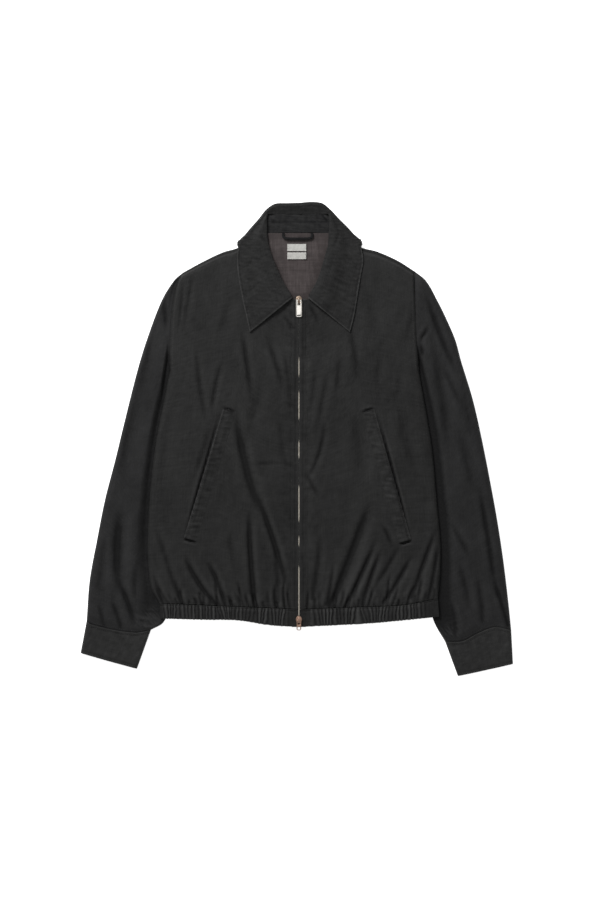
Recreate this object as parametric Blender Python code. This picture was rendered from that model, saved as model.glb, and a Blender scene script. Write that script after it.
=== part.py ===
"""A harrington jacket, zipped up and laid flat on its back with the sleeves down.

The garment is worked out in plan, in millimetres: X runs to the wearer's left, Y to the
collar and Z up from the surface that the jacket lies on. Each panel is a wall over a patch
between named plan lines. The back lies on the surface, the fronts lie on the back, each
sleeve is a flattened tube whose underarm edge is tucked below the body's side, and the
collar is turned down: its leaf lies on the fronts, turns at the neck and runs under the back.
"""

import math
from collections import namedtuple

import bmesh
import bpy
from mathutils import Matrix, Vector

MM = 0.001

# Gap between pieces at a seam, and the walls of the cloth.
SEAM = 0.35
PANEL_WALL = 1.5
SLEEVE_WALL = 1.2
CUFF_WALL = 2.0
BAND_WALL = 2.1
LINING_WALL = 1.0
LEAF_WALL = 2.0
STAND_WALL = 1.5
TRIM_WALL = 1.0

# How the layers lie on each other.
TUCK_TOP = 2.7          # top of a sleeve's tucked edge, below the lifted side of the back
FRONT_REST = 5.0        # underside of the fronts where they lie on the back
FRONT_AT_ZIP = 5.7      # underside of the fronts over the zip tapes
UNDER_LEAF_Z = 1.0      # middle of the collar leaf where it runs under the back

# The zip: its line, the half width left between the front edges, tapes and teeth.
ZIP_X = 4.0
ZIP_TOP = 232.0
ZIP_BOTTOM = -309.0
ZIP_HALF_GAP = 2.7
TAPE_REACH = 11.5
TAPE_Z = 4.4
CHAIN_HALF = 2.1
CHAIN_Z = (4.4, 7.0)

# Rows run from the hem (0) over the pit (12) to the shoulder (18).
PIT_ROW = 12
TOP_ROW = 18

Row = namedtuple("Row", "side_lift side_low neck_lift")
ROWS = [Row(3.0, 4.8, 0.0)] * 13 + [
    Row(side_lift=1.5, side_low=4.8, neck_lift=0.0),
    Row(side_lift=0.0, side_low=4.6, neck_lift=0.0),
    Row(side_lift=0.0, side_low=4.3, neck_lift=0.0),
    Row(side_lift=0.0, side_low=3.6, neck_lift=0.0),
    Row(side_lift=0.0, side_low=2.8, neck_lift=2.4),
    Row(side_lift=0.0, side_low=1.8, neck_lift=2.4),
]

# Columns run from the side (0) over the neck point (0.44) to the zip (1). "top" is the share
# of the height that a front keeps, which cuts its neckline.
Column = namedtuple("Column", "u side neck top")
COLUMNS = [
    Column(u=0.000, side=1, neck=0, top=1.0),
    Column(u=0.085, side=1, neck=0, top=1.0),
    Column(u=0.170, side=1, neck=0, top=1.0),
    Column(u=0.270, side=0, neck=0, top=1.0),
    Column(u=0.360, side=0, neck=1, top=1.0),
    Column(u=0.440, side=0, neck=1, top=1.0),
    Column(u=0.520, side=0, neck=1, top=0.930),
    Column(u=0.600, side=0, neck=1, top=0.884),
    Column(u=0.680, side=0, neck=1, top=0.857),
    Column(u=0.770, side=0, neck=1, top=0.836),
    Column(u=0.860, side=0, neck=1, top=0.826),
    Column(u=0.935, side=0, neck=1, top=0.8215),
    Column(u=1.000, side=0, neck=1, top=0.8215),
]
NECK_COLUMN = 5
BACK_COLUMNS = [0, 1, 2, 3, 4, 5, 7, 9, 12]
LINING_FIRST_COLUMN = 6     # the lining covers the middle columns and the top rows of the back
LINING_ROWS = 5
FLAT_ABOVE_TAPE = 0.9       # columns past this share lie on the zip tapes
NECK_U = COLUMNS[NECK_COLUMN].u

# Plan lines of the wearer's right (-X) and left (+X), in millimetres.
PLAN = {
    "right": {
        "side": [(-225, -271), (-238, -248), (-243, -220), (-245, -174), (-243, -111),
                 (-238, -55), (-230, 4), (-220, 54), (-209, 111)],
        "armhole": [(-209, 111), (-209, 151), (-205, 219), (-197, 258), (-186, 276)],
        "shoulder": [(-186, 276), (-153, 294), (-121, 309), (-97, 316), (-77, 328)],
        "neck": [(-77, 328), (-57, 336), (-35, 340), (4, 340)],
        "hem": [(-225, -271), (-187, -272), (-93, -276), (4, -280)],
        "band": [(-224, -295), (-154, -297), (-98, -298), (-44, -306), (4, -309)],
        "sleeve_outer": [(-187, 276), (-202, 263), (-222, 230), (-247, 164), (-262, 115),
                         (-283, 32), (-299, -34), (-316, -100), (-329, -166), (-341, -232),
                         (-346, -299)],
        "crease": [(-212, 108), (-223, 54), (-233, 4), (-241, -55), (-246, -111), (-248, -174),
                   (-246, -220), (-242, -248), (-241, -280), (-245, -305), (-254, -316)],
        "sleeve_inner": [(-209, 110), (-191, 65), (-192, 4), (-200, -67), (-205, -133),
                         (-207, -199), (-207, -265), (-219, -301), (-240, -314)],
        "cuff_seam": [(-346, -299), (-339, -304), (-303, -313), (-265, -318), (-240, -314)],
        "cuff_end": [(-356, -352), (-311, -365), (-263, -378)],
    },
    "left": {
        "side": [(233, -262), (237, -220), (237, -166), (232, -111), (225, -29), (217, 27),
                 (202, 111)],
        "armhole": [(202, 111), (198, 164), (196, 219), (195, 255), (194, 278)],
        "shoulder": [(194, 278), (167, 295), (133, 310), (106, 317), (87, 328)],
        "neck": [(87, 328), (65, 336), (42, 340), (4, 340)],
        "hem": [(233, -262), (176, -273), (88, -277), (4, -280)],
        "band": [(235, -292), (176, -298), (121, -303), (4, -309)],
        "sleeve_outer": [(195, 279), (214, 263), (232, 230), (248, 197), (262, 164),
                         (271, 131), (291, 65), (306, -1), (319, -67), (331, -133),
                         (341, -199), (349, -265), (354, -314)],
        "crease": [(205, 108), (213, 65), (220, 27), (228, -29), (235, -111), (240, -166),
                   (240, -220), (239, -262), (241, -300), (259, -333)],
        "sleeve_inner": [(202, 110), (189, 65), (196, 4), (204, -67), (210, -133), (215, -199),
                         (217, -257), (227, -301), (245, -333)],
        "cuff_seam": [(354, -314), (326, -309), (299, -319), (273, -332), (245, -333)],
        "cuff_end": [(357, -370), (313, -380), (266, -390)],
    },
}

# Largest folds of the fronts: straight soft troughs (drop > 0) and ridges (drop < 0).
Fold = namedtuple("Fold", "x0 y0 x1 y1 half_width drop")
FOLDS = {
    "right": [
        Fold(x0=-84, y0=-10, x1=-16, y1=-240, half_width=34, drop=2.6),
        Fold(x0=-98, y0=-110, x1=-58, y1=-250, half_width=30, drop=-2.2),
        Fold(x0=-84, y0=160, x1=-72, y1=84, half_width=34, drop=1.8),
    ],
    "left": [
        Fold(x0=112, y0=-95, x1=62, y1=-262, half_width=34, drop=2.6),
        Fold(x0=80, y0=-70, x1=32, y1=-250, half_width=30, drop=-2.2),
        Fold(x0=56, y0=80, x1=36, y1=-62, half_width=30, drop=2.0),
    ],
}

# Sections of the collar leaf, from the front edge round to the middle of the back. "start" is
# at the roll edge, "turn" on the folded outline where the leaf goes under, "end" at its edge.
LeafLine = namedtuple("LeafLine", "start_x start_y start_z top turn_x turn_y end_x end_y")
LEAF = {
    "right": [
        LeafLine(-7, 233, 10.3, 10, None, None, -77, 177),
        LeafLine(-14, 247, 10.3, 10, None, None, -82, 200),
        LeafLine(-21, 258, 10.3, 10, None, None, -87, 222),
        LeafLine(-29, 275, 10.3, 10, None, None, -92, 247),
        LeafLine(-37, 293, 10.3, 10, None, None, -96, 271),
        LeafLine(-44, 313, 10.3, 10, None, None, -98, 295),
        LeafLine(-48, 329, 10.3, 10, None, None, -96.5, 316),
        LeafLine(-48.5, 333, 10.3, 9, -99.5, 323, None, None),
        LeafLine(-49, 337, 10.3, 7, -96, 327, -90, 320),
        LeafLine(-49, 342, 10.3, 6, -91, 331, -86, 315),
        LeafLine(-49, 354, 10.3, 5, -77, 346, -77, 309),
        LeafLine(-49, 364, 9.6, 5, -62, 363, -57, 308),
        LeafLine(-47, 372.6, 7.8, 5, -49, 379, -44, 308),
        LeafLine(-35, 372.6, 5.8, 5, -35, 388, -30, 308),
        LeafLine(-16, 372.6, 5.8, 5, -16, 389, -14, 308),
    ],
    "left": [
        LeafLine(19, 233, 10.3, 10, None, None, 88, 177),
        LeafLine(26, 247, 10.3, 10, None, None, 94, 200),
        LeafLine(32, 258, 10.3, 10, None, None, 98, 222),
        LeafLine(39, 275, 10.3, 10, None, None, 102, 247),
        LeafLine(44, 293, 10.3, 10, None, None, 106, 271),
        LeafLine(50, 313, 10.3, 10, None, None, 110, 295),
        LeafLine(54, 329, 10.3, 10, None, None, 107, 317),
        LeafLine(54, 333, 10.3, 9, 110.5, 324, None, None),
        LeafLine(54, 337, 10.3, 7, 106, 329, 100, 321),
        LeafLine(54, 342, 10.3, 6, 100, 333, 96, 316),
        LeafLine(54, 354, 10.3, 5, 86, 347, 86, 309),
        LeafLine(54, 364, 9.6, 5, 70, 363, 66, 308),
        LeafLine(53, 372.6, 7.8, 5, 56, 378, 53, 308),
        LeafLine(42, 372.6, 5.8, 5, 42, 389, 40, 308),
        LeafLine(24, 372.6, 5.8, 5, 24, 391, 24, 308),
    ],
}
LEAF_MIDDLE = LeafLine(4, 372.6, 5.8, 5, 4, 389.5, 4, 308)
LEAF_POINTS = 10
LEAF_TURN_REACH = 3.2   # how far inside the outline the turn begins
LEAF_REST_Z = 8.0       # middle of the leaf where it lies on the fronts

# Sections of the collar stand, from the zip to the middle of the back. "share" is the place
# along the front's (then the back's) neckline where the section's seam edge is. The stand is
# a flattened ring: its front half lies above the back half and turns over at the neck point.
StandLine = namedtuple("StandLine", "panel share seam_z upper_x upper_y upper_z")
STAND = {
    "right": [
        StandLine("front", 0.000, 6.8, -8, 238, 7.7),
        StandLine("front", 0.167, 6.4, -14, 246, 8.0),
        StandLine("front", 0.333, 6.1, -20, 256, 8.0),
        StandLine("front", 0.500, 5.9, -28, 269, 8.0),
        StandLine("front", 0.667, 5.9, -36, 286, 8.0),
        StandLine("front", 0.833, 5.6, -42, 303, 8.0),
        StandLine("front", 0.930, 5.5, -46, 322, 8.0),
        StandLine("front", 0.965, 5.4, -48, 341, 8.0),
        StandLine("front", 1.000, 5.4, -49, 357, 7.6),
        StandLine("fold", 0.000, 4.3, -50, 370, 5.8),
        StandLine("back", 0.040, 3.2, -46.5, 371, 4.1),
        StandLine("back", 0.167, 3.2, -42, 371.2, 4.8),
        StandLine("back", 0.333, 3.2, -36, 371.2, 5.4),
        StandLine("back", 0.667, 3.2, -21, 371.2, 5.6),
    ],
    "left": [
        StandLine("front", 0.000, 6.8, 20, 238, 7.7),
        StandLine("front", 0.167, 6.4, 26, 246, 8.0),
        StandLine("front", 0.333, 6.1, 31, 256, 8.0),
        StandLine("front", 0.500, 5.9, 37, 269, 8.0),
        StandLine("front", 0.667, 5.9, 43, 286, 8.0),
        StandLine("front", 0.833, 5.6, 48, 303, 8.0),
        StandLine("front", 0.930, 5.5, 52, 322, 8.0),
        StandLine("front", 0.965, 5.4, 53, 341, 8.0),
        StandLine("front", 1.000, 5.4, 54, 357, 7.6),
        StandLine("fold", 0.000, 4.3, 55, 370, 5.8),
        StandLine("back", 0.040, 3.2, 51.5, 371, 4.1),
        StandLine("back", 0.167, 3.2, 48, 371.2, 4.8),
        StandLine("back", 0.333, 3.2, 43, 371.2, 5.4),
        StandLine("back", 0.667, 3.2, 29, 371.2, 5.6),
    ],
}
STAND_MIDDLE = StandLine("back", 1.0, 3.2, 4, 371.2, 5.6)
FOLD_REACH = 2.6        # how far beyond the neck point the stand turns over

# Sleeves and cuffs, as rings of seven points from the outer edge to the tucked one. Shares
# place the points across; the sleeve's seventh point is its inner edge, below the body.
SLEEVE_RINGS = 13
SLEEVE_SHARES = [0.0, 0.16, 0.38, 0.62, 0.84, 1.0]
CUFF_SHARES = [0.0, 0.16, 0.36, 0.56, 0.74, 0.88, 1.0]
ARMHOLE_TOP_MIN = 3.0
# Heights of the upper side at those points.
SLEEVE_CROWN = [3.2, 5.6, 6.6, 6.8, 5.6, TUCK_TOP, TUCK_TOP]
SLEEVE_END = [3.4, 5.6, 6.2, 6.2, 5.6, 3.8, 2.8]
CUFF_START = [4.2, 5.8, 6.4, 6.4, 5.9, 5.2, 4.2]
CUFF_END = [4.2, 5.2, 5.6, 5.6, 5.2, 4.8, 4.2]

# Pocket welts: the middle of the upper and lower end, and the width across.
Welt = namedtuple("Welt", "top_x top_y low_x low_y width")
WELTS = {
    "right": Welt(top_x=-110.5, top_y=47.5, low_x=-175.5, low_y=-166, width=21),
    "left": Welt(top_x=118, top_y=47, low_x=179, low_y=-169, width=21),
}
WELT_WALL = 1.5

# Blank labels and the hanging loop on the back's lining.
Label = namedtuple("Label", "left low right high")
LABELS = {
    "upper": Label(left=-15, low=310.4, right=16, high=322),
    "lower": Label(left=-15, low=297, right=16, high=308.2),
}
LOOP_OUTLINE = [(-25, 339), (-25, 331.5), (-21, 329), (25, 329), (29, 331.5), (29, 339),
                (22, 339), (22, 334.5), (-18, 334.5), (-18, 339)]

# Zip sliders and their pull tabs. "top" is the slider's upper end.
Slider = namedtuple("Slider", "top length width hinge pull_width pull_length slots")
Slot = namedtuple("Slot", "start length width")
SLIDERS = {
    "top": Slider(top=236.5, length=12.0, width=10.4, hinge=229.5, pull_width=10.0,
                  pull_length=28.6, slots=[Slot(1.0, 8.0, 4.4), Slot(24.4, 1.9, 5.6)]),
    "bottom": Slider(top=-290.5, length=12.0, width=10.4, hinge=-297.5, pull_width=7.6,
                     pull_length=17.5, slots=[Slot(1.0, 6.4, 4.4), Slot(11.6, 4.0, 4.4)]),
}
PLATE_LOW_Z = (3.2, 4.1)
PLATE_TOP_Z = (8.1, 9.4)
PLATE_TAPER = (0.72, 0.55)  # half widths of a plate's lower corners
PLATE_ARC_STEPS = 8
LOW_PLATE_SHARE = 0.9
POST_HALF = (1.5, 4.0)
OVERLAP = 0.2               # how far joined solids reach into each other
BRIDGE_WIDTH = 2.4
BRIDGE_INNER = (3.6, 2.5)   # length and height of the hollow that holds the pull's bar
BRIDGE_BAR = 0.9
HINGE_Z = 10.6
PULL_WALL = 1.1
PULL_TILT = math.radians(2.5)

# Colours and finishes: base colour, roughness, metallic.
FINISHES = {
    "shell": ((0.027, 0.027, 0.026, 1.0), 0.88, 0.0),
    "sleeve": ((0.023, 0.023, 0.023, 1.0), 0.88, 0.0),
    "lining": ((0.075, 0.062, 0.062, 1.0), 0.75, 0.0),
    "label": ((0.70, 0.69, 0.66, 1.0), 0.8, 0.0),
    "tape": ((0.012, 0.012, 0.012, 1.0), 0.8, 0.0),
    "nickel": ((0.72, 0.70, 0.64, 1.0), 0.28, 1.0),
    "copper": ((0.42, 0.26, 0.19, 1.0), 0.35, 1.0),
}


class Curve:
    """A smooth plan line through a few points, read by its share of the length."""

    STEPS = 12

    def __init__(self, points):
        self.points = [Vector(point) for point in points]
        self.fine = []
        for index in range(len(points) - 1):
            for step in range(self.STEPS):
                self.fine.append(self.between(index, step / self.STEPS))
        self.fine.append(self.points[-1])
        self.lengths = [0.0]
        for first, second in zip(self.fine, self.fine[1:]):
            self.lengths.append(self.lengths[-1] + (second - first).length)

    def between(self, index, part):
        """A point between two of the given ones, on a curve whose slopes come from chords."""
        here, there = self.points[index], self.points[index + 1]
        before = self.points[max(index - 1, 0)]
        after = self.points[min(index + 2, len(self.points) - 1)]
        chord = (there - here).length
        slope_here = (there - before) * (chord / max((there - here).length
                                                     + (here - before).length, 1e-9))
        slope_there = (after - here) * (chord / max((after - there).length
                                                    + (there - here).length, 1e-9))
        square, cube = part * part, part ** 3
        return (here * (2 * cube - 3 * square + 1) + slope_here * (cube - 2 * square + part)
                + there * (3 * square - 2 * cube) + slope_there * (cube - square))

    def at(self, share):
        wanted = min(max(share, 0.0), 1.0) * self.lengths[-1]
        for index in range(len(self.fine) - 1):
            if wanted <= self.lengths[index + 1]:
                step = self.lengths[index + 1] - self.lengths[index]
                part = (wanted - self.lengths[index]) / max(step, 1e-9)
                return self.fine[index].lerp(self.fine[index + 1], part)
        return self.fine[-1].copy()


CURVES = {side: {name: Curve(points) for name, points in lines.items()}
          for side, lines in PLAN.items()}
SIGN = {"right": -1.0, "left": 1.0}


def finish(name, colours):
    base, roughness, metallic = FINISHES[colours]
    material = bpy.data.materials.new(name)
    material.use_nodes = True
    shader = material.node_tree.nodes["Principled BSDF"]
    shader.inputs["Base Color"].default_value = base
    shader.inputs["Roughness"].default_value = roughness
    shader.inputs["Metallic"].default_value = metallic
    return material


def add_object(name, mesh_data, colours):
    mesh = bpy.data.meshes.new(name)
    bmesh.ops.recalc_face_normals(mesh_data, faces=mesh_data.faces)
    if mesh_data.calc_volume(signed=True) < 0:
        bmesh.ops.reverse_faces(mesh_data, faces=mesh_data.faces)
    mesh_data.to_mesh(mesh)
    mesh_data.free()
    piece = bpy.data.objects.new(name, mesh)
    bpy.context.collection.objects.link(piece)
    mesh.materials.append(finish(name, colours))
    return piece


def add_cell(mesh_data, corners, turned=False):
    """Two triangles for four corners, split from the first corner or, turned, the second."""
    first, second, third, fourth = corners
    if turned:
        first, second, third, fourth = second, third, fourth, first
    mesh_data.faces.new((first, second, third))
    mesh_data.faces.new((first, third, fourth))


def wall(name, lower, upper, colours):
    """A closed wall between two grids of points that have the same rows and columns."""
    mesh_data = bmesh.new()
    grids = [[[mesh_data.verts.new(Vector(point) * MM) for point in row] for row in grid]
             for grid in (lower, upper)]
    rows, columns = len(lower), len(lower[0])
    for grid in grids:
        for row in range(rows - 1):
            for column in range(columns - 1):
                add_cell(mesh_data, (grid[row][column], grid[row][column + 1],
                                     grid[row + 1][column + 1], grid[row + 1][column]))
    low, high = grids
    edge = [(0, column) for column in range(columns)]
    edge += [(row, columns - 1) for row in range(1, rows)]
    edge += [(rows - 1, column) for column in range(columns - 2, -1, -1)]
    edge += [(row, 0) for row in range(rows - 2, 0, -1)]
    for (row_a, col_a), (row_b, col_b) in zip(edge, edge[1:] + edge[:1]):
        add_cell(mesh_data, (low[row_a][col_a], low[row_b][col_b],
                             high[row_b][col_b], high[row_a][col_a]))
    return add_object(name, mesh_data, colours)


def raised(grid, height):
    return [[(x, y, z + height) for x, y, z in row] for row in grid]


def tube(name, outer, inner, colours):
    """A closed wall between an outer and an inner tube, each a list of rings of points."""
    mesh_data = bmesh.new()
    skins = [[[mesh_data.verts.new(Vector(point) * MM) for point in ring] for ring in rings]
             for rings in (outer, inner)]
    around = len(outer[0])
    for skin in skins:
        for ring in range(len(skin) - 1):
            for index in range(around):
                following = (index + 1) % around
                add_cell(mesh_data, (skin[ring][index], skin[ring][following],
                                     skin[ring + 1][following], skin[ring + 1][index]),
                         turned=True)
    for end in (0, -1):
        for index in range(around):
            following = (index + 1) % around
            add_cell(mesh_data, (skins[0][end][index], skins[0][end][following],
                                 skins[1][end][following], skins[1][end][index]))
    return add_object(name, mesh_data, colours)


def prism(name, outline, low_z, high_z, colours):
    """An upright solid on a plan outline."""
    mesh_data = bmesh.new()
    base = mesh_data.faces.new([mesh_data.verts.new(Vector((x, y, low_z)) * MM)
                                for x, y in outline])
    grown = bmesh.ops.extrude_face_region(mesh_data, geom=[base])["geom"]
    moved = [item for item in grown if isinstance(item, bmesh.types.BMVert)]
    bmesh.ops.translate(mesh_data, verts=moved, vec=(0, 0, (high_z - low_z) * MM))
    return add_object(name, mesh_data, colours)


def top_line(side, u):
    lines = CURVES[side]
    if u <= NECK_U:
        return lines["shoulder"].at(u / NECK_U)
    return lines["neck"].at((u - NECK_U) / (1 - NECK_U))


def side_line(side, row):
    lines = CURVES[side]
    if row <= PIT_ROW:
        return lines["side"].at(row / PIT_ROW)
    return lines["armhole"].at((row - PIT_ROW) / (TOP_ROW - PIT_ROW))


def body_plan(side, u, row):
    """A plan point of half the body, between its side, middle, hem and shoulder lines."""
    share = row / TOP_ROW
    hem, top = CURVES[side]["hem"], top_line(side, u)
    middle = Vector((ZIP_X, hem.at(1).y + (top_line(side, 1).y - hem.at(1).y) * share))
    across = side_line(side, row) * (1 - u) + middle * u
    along = hem.at(u) * (1 - share) + top * share
    corners = ((hem.at(0) * (1 - u) + hem.at(1) * u) * (1 - share)
               + (top_line(side, 0) * (1 - u) + top_line(side, 1) * u) * share)
    return across + along - corners


def lift(column, row):
    """How far the back is lifted, over a tucked sleeve or over the collar's under part."""
    return (ROWS[row].side_lift * COLUMNS[column].side
            + ROWS[row].neck_lift * COLUMNS[column].neck)


def fold_drop(side, x, y):
    """The folds' share of a front's height at a plan point."""
    total = 0.0
    for fold in FOLDS[side]:
        start, end = Vector((fold.x0, fold.y0)), Vector((fold.x1, fold.y1))
        run = end - start
        share = (Vector((x, y)) - start).dot(run) / run.length_squared
        inside = min(max(share, 0.0), 1.0)
        distance = (Vector((x, y)) - start.lerp(end, inside)).length / fold.half_width
        total += fold.drop * max(0.0, 1 - distance * distance) ** 2
    return total


def front_low(side, column, row, x, y):
    """Underside of a front: on the back at its edges, a little above it in the middle."""
    on_back = lift(column, row) + PANEL_WALL + SEAM
    if column == 0:
        return max(ROWS[row].side_low, on_back)
    if row == TOP_ROW and column <= NECK_COLUMN:
        return on_back
    if COLUMNS[column].u > FLAT_ABOVE_TAPE:
        return FRONT_AT_ZIP
    rest = FRONT_REST - (fold_drop(side, x, y) if 0 < row < TOP_ROW else 0.0)
    return max(rest, on_back)


def back_grid(columns):
    """The back's points over both halves, hem to neck, wearer's right to left."""
    grid = []
    for row in range(TOP_ROW + 1):
        halves = {}
        for side in ("right", "left"):
            halves[side] = [(*body_plan(side, COLUMNS[column].u, row), lift(column, row))
                            for column in columns]
        grid.append(halves["right"] + halves["left"][-2::-1])
    return grid


def front_grid(side):
    grid = []
    for row in range(TOP_ROW + 1):
        line = []
        for index, column in enumerate(COLUMNS):
            x, y = body_plan(side, column.u, row * column.top)
            if index == len(COLUMNS) - 1:
                x = ZIP_X + SIGN[side] * ZIP_HALF_GAP
            line.append((x, y, front_low(side, index, row, x, y)))
        grid.append(line)
    return grid


def make_body():
    """Back, its lining where the neck shows it, and the two fronts."""
    grid = back_grid(BACK_COLUMNS)
    wall("back", grid, raised(grid, PANEL_WALL), "shell")
    first, last = LINING_FIRST_COLUMN, len(grid[0]) - LINING_FIRST_COLUMN
    patch = raised([row[first:last] for row in grid[TOP_ROW - LINING_ROWS:]],
                   PANEL_WALL + SEAM)
    wall("back_lining", patch, raised(patch, LINING_WALL), "lining")
    for side in ("right", "left"):
        front = front_grid(side)
        wall("front_" + side, front, raised(front, PANEL_WALL), "shell")


def lining_top(y):
    """Top of the lining on the middle line, where the back slopes down from the neck."""
    rows = [body_plan("right", 1, row).y for row in (TOP_ROW - 2, TOP_ROW - 1)]
    share = min(max((y - rows[0]) / (rows[1] - rows[0]), 0.0), 1.0)
    return PANEL_WALL + SEAM + LINING_WALL + ROWS[TOP_ROW].neck_lift * share


def make_neck_trim():
    for name, label in LABELS.items():
        slope_ends = body_plan("right", 1, TOP_ROW - 1).y
        lines = sorted({label.low, min(max(slope_ends, label.low), label.high), label.high})
        grid = [[(x, y, lining_top(y) + SEAM) for x in (label.left, label.right)]
                for y in lines]
        wall("label_" + name, grid, raised(grid, TRIM_WALL), "label")
    base = lining_top(LOOP_OUTLINE[0][1]) + SEAM
    prism("hanger_loop", LOOP_OUTLINE, base, base + TRIM_WALL, "tape")


def ring_points(plan, heights, wall_depth):
    """Outer and inner ring of a flattened tube over a line of plan points."""
    first, last = Vector(plan[0]), Vector(plan[-1])
    inset = [Vector(point) for point in plan]
    inset[0] = first + (inset[1] - first).normalized() * wall_depth
    inset[-1] = last + (inset[-2] - last).normalized() * wall_depth
    outer = [(p[0], p[1], z) for p, z in zip(plan, heights)]
    outer += [(p[0], p[1], 0.0) for p in reversed(plan)]
    inner = [(p.x, p.y, z - wall_depth) for p, z in zip(inset, heights)]
    inner += [(p.x, p.y, wall_depth) for p in reversed(inset)]
    return outer, inner


def sleeve_plans(side):
    """Plan points and heights of a sleeve's rings, from the armhole to the cuff seam."""
    lines = CURVES[side]
    plans, heights = [], []
    rows = range(TOP_ROW, PIT_ROW - 1, -1)
    away = Vector((SIGN[side] * SEAM, 0))
    plans.append([side_line(side, row) + away for row in rows])
    heights.append([max(ROWS[row].side_low + SLEEVE_WALL, ARMHOLE_TOP_MIN) for row in rows])
    heights[0][-1] = TUCK_TOP
    for ring in range(1, SLEEVE_RINGS):
        share = ring / SLEEVE_RINGS
        outer = lines["sleeve_outer"].at(share)
        crease = lines["crease"].at(share)
        plans.append([outer.lerp(crease, part) for part in SLEEVE_SHARES]
                     + [lines["sleeve_inner"].at(share)])
        heights.append(SLEEVE_CROWN)
    plans.append([lines["cuff_seam"].at(share) for share in CUFF_SHARES])
    heights.append(SLEEVE_END)
    return plans, heights


def make_sleeves():
    for side in ("right", "left"):
        plans, heights = sleeve_plans(side)
        rings = [ring_points(plan, tall, SLEEVE_WALL) for plan, tall in zip(plans, heights)]
        tube("sleeve_" + side, [ring[0] for ring in rings], [ring[1] for ring in rings],
             "sleeve")
        seam = plans[-1]
        end = [CURVES[side]["cuff_end"].at(share) for share in CUFF_SHARES]
        start = [a + (b - a).normalized() * SEAM for a, b in zip(seam, end)]
        middle = [a.lerp(b, 0.5) for a, b in zip(start, end)]
        tall_middle = [(a + b) / 2 for a, b in zip(CUFF_START, CUFF_END)]
        rings = [ring_points(plan, tall, CUFF_WALL)
                 for plan, tall in ((start, CUFF_START), (middle, tall_middle),
                                    (end, CUFF_END))]
        tube("cuff_" + side, [ring[0] for ring in rings], [ring[1] for ring in rings],
             "shell")


def band_point(side, u, share, shift=0.0):
    seam = body_plan(side, u, 0) - Vector((0, SEAM))
    end = CURVES[side]["band"].at(u)
    x, y = seam.lerp(end, share)
    return x + shift, y


def make_hem_bands():
    """The gathered waistband: one at the back and one on each front, ending at the zip."""
    shares = (0.0, 0.5, 1.0)
    grid = []
    for share in shares:
        halves = {side: [(*band_point(side, COLUMNS[column].u, share), lift(column, 0))
                         for column in BACK_COLUMNS] for side in ("right", "left")}
        grid.append(halves["right"] + halves["left"][-2::-1])
    wall("hem_band_back", grid, raised(grid, BAND_WALL), "shell")
    for side in ("right", "left"):
        grid = []
        for share in shares:
            line = []
            for index, column in enumerate(COLUMNS):
                shift = SIGN[side] * ZIP_HALF_GAP if column.u == 1 else 0.0
                low = max(lift(index, 0) + BAND_WALL + SEAM, FRONT_REST)
                low = FRONT_AT_ZIP if column.u > FLAT_ABOVE_TAPE else low
                line.append((*band_point(side, column.u, share, shift), low))
            grid.append(line)
        wall("hem_band_" + side, grid, raised(grid, BAND_WALL), "shell")


def sheet(name, sections, depth, colours):
    """A wall of even depth about a grid of middle points, along the grid's own normals."""
    outer, inner = [], []
    last_row, last_point = len(sections) - 1, len(sections[0]) - 1
    for row, points in enumerate(sections):
        over, under = [], []
        before, after = sections[max(row - 1, 0)], sections[min(row + 1, last_row)]
        for index, point in enumerate(points):
            across = points[min(index + 1, last_point)] - points[max(index - 1, 0)]
            along = after[index] - before[index]
            normal = across.cross(along).normalized() * (depth / 2)
            over.append(tuple(point + normal))
            under.append(tuple(point - normal))
        outer.append(over)
        inner.append(under)
    return wall(name, inner, outer, colours)


def leaf_top_z(line, share):
    """Height of the leaf's middle from the roll edge (0) to its edge or turn (1)."""
    hold, settle = 0.3, 0.58
    part = min(max((share - hold) / (settle - hold), 0.0), 1.0)
    soft = part * part * (3 - 2 * part)
    return line.start_z + (LEAF_REST_Z - line.start_z) * soft


def leaf_section(line):
    start = Vector((line.start_x, line.start_y))
    folded = line.turn_x is not None
    rim = Vector((line.turn_x, line.turn_y)) if folded else Vector((line.end_x, line.end_y))
    inset = rim - (rim - start).normalized() * LEAF_TURN_REACH if folded else rim
    points = []
    for index in range(line.top):
        share = index / (line.top - 1)
        points.append(Vector((*start.lerp(inset, share), leaf_top_z(line, share))))
    if not folded:
        return points
    points.append(Vector((*rim, (LEAF_REST_Z + UNDER_LEAF_Z) / 2)))
    if line.end_x is None:
        return points
    end = Vector((line.end_x, line.end_y))
    first = rim - (rim - end).normalized() * LEAF_TURN_REACH
    below = LEAF_POINTS - len(points)
    for index in range(below):
        points.append(Vector((*first.lerp(end, index / (below - 1)), UNDER_LEAF_Z)))
    return points


def polyline_at(points, share):
    """A point on straight pieces between points, by its share of their number."""
    place = share * (len(points) - 1)
    index = min(int(place), len(points) - 2)
    return points[index].lerp(points[index + 1], place - index)


def stand_section(line, paths):
    """Four points from the seam edge to the upper edge, clear of the panel at the seam."""
    spot = polyline_at(paths[line.panel], line.share)
    upper = Vector((line.upper_x, line.upper_y, line.upper_z))
    clear = (upper.xy - spot).normalized() if line.panel == "front" else Vector((0, 1))
    seam = Vector((*(spot + clear * 2 * SEAM), line.seam_z))
    return [seam.lerp(upper, part) for part in (0.0, 0.33, 0.67, 1.0)]


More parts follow.
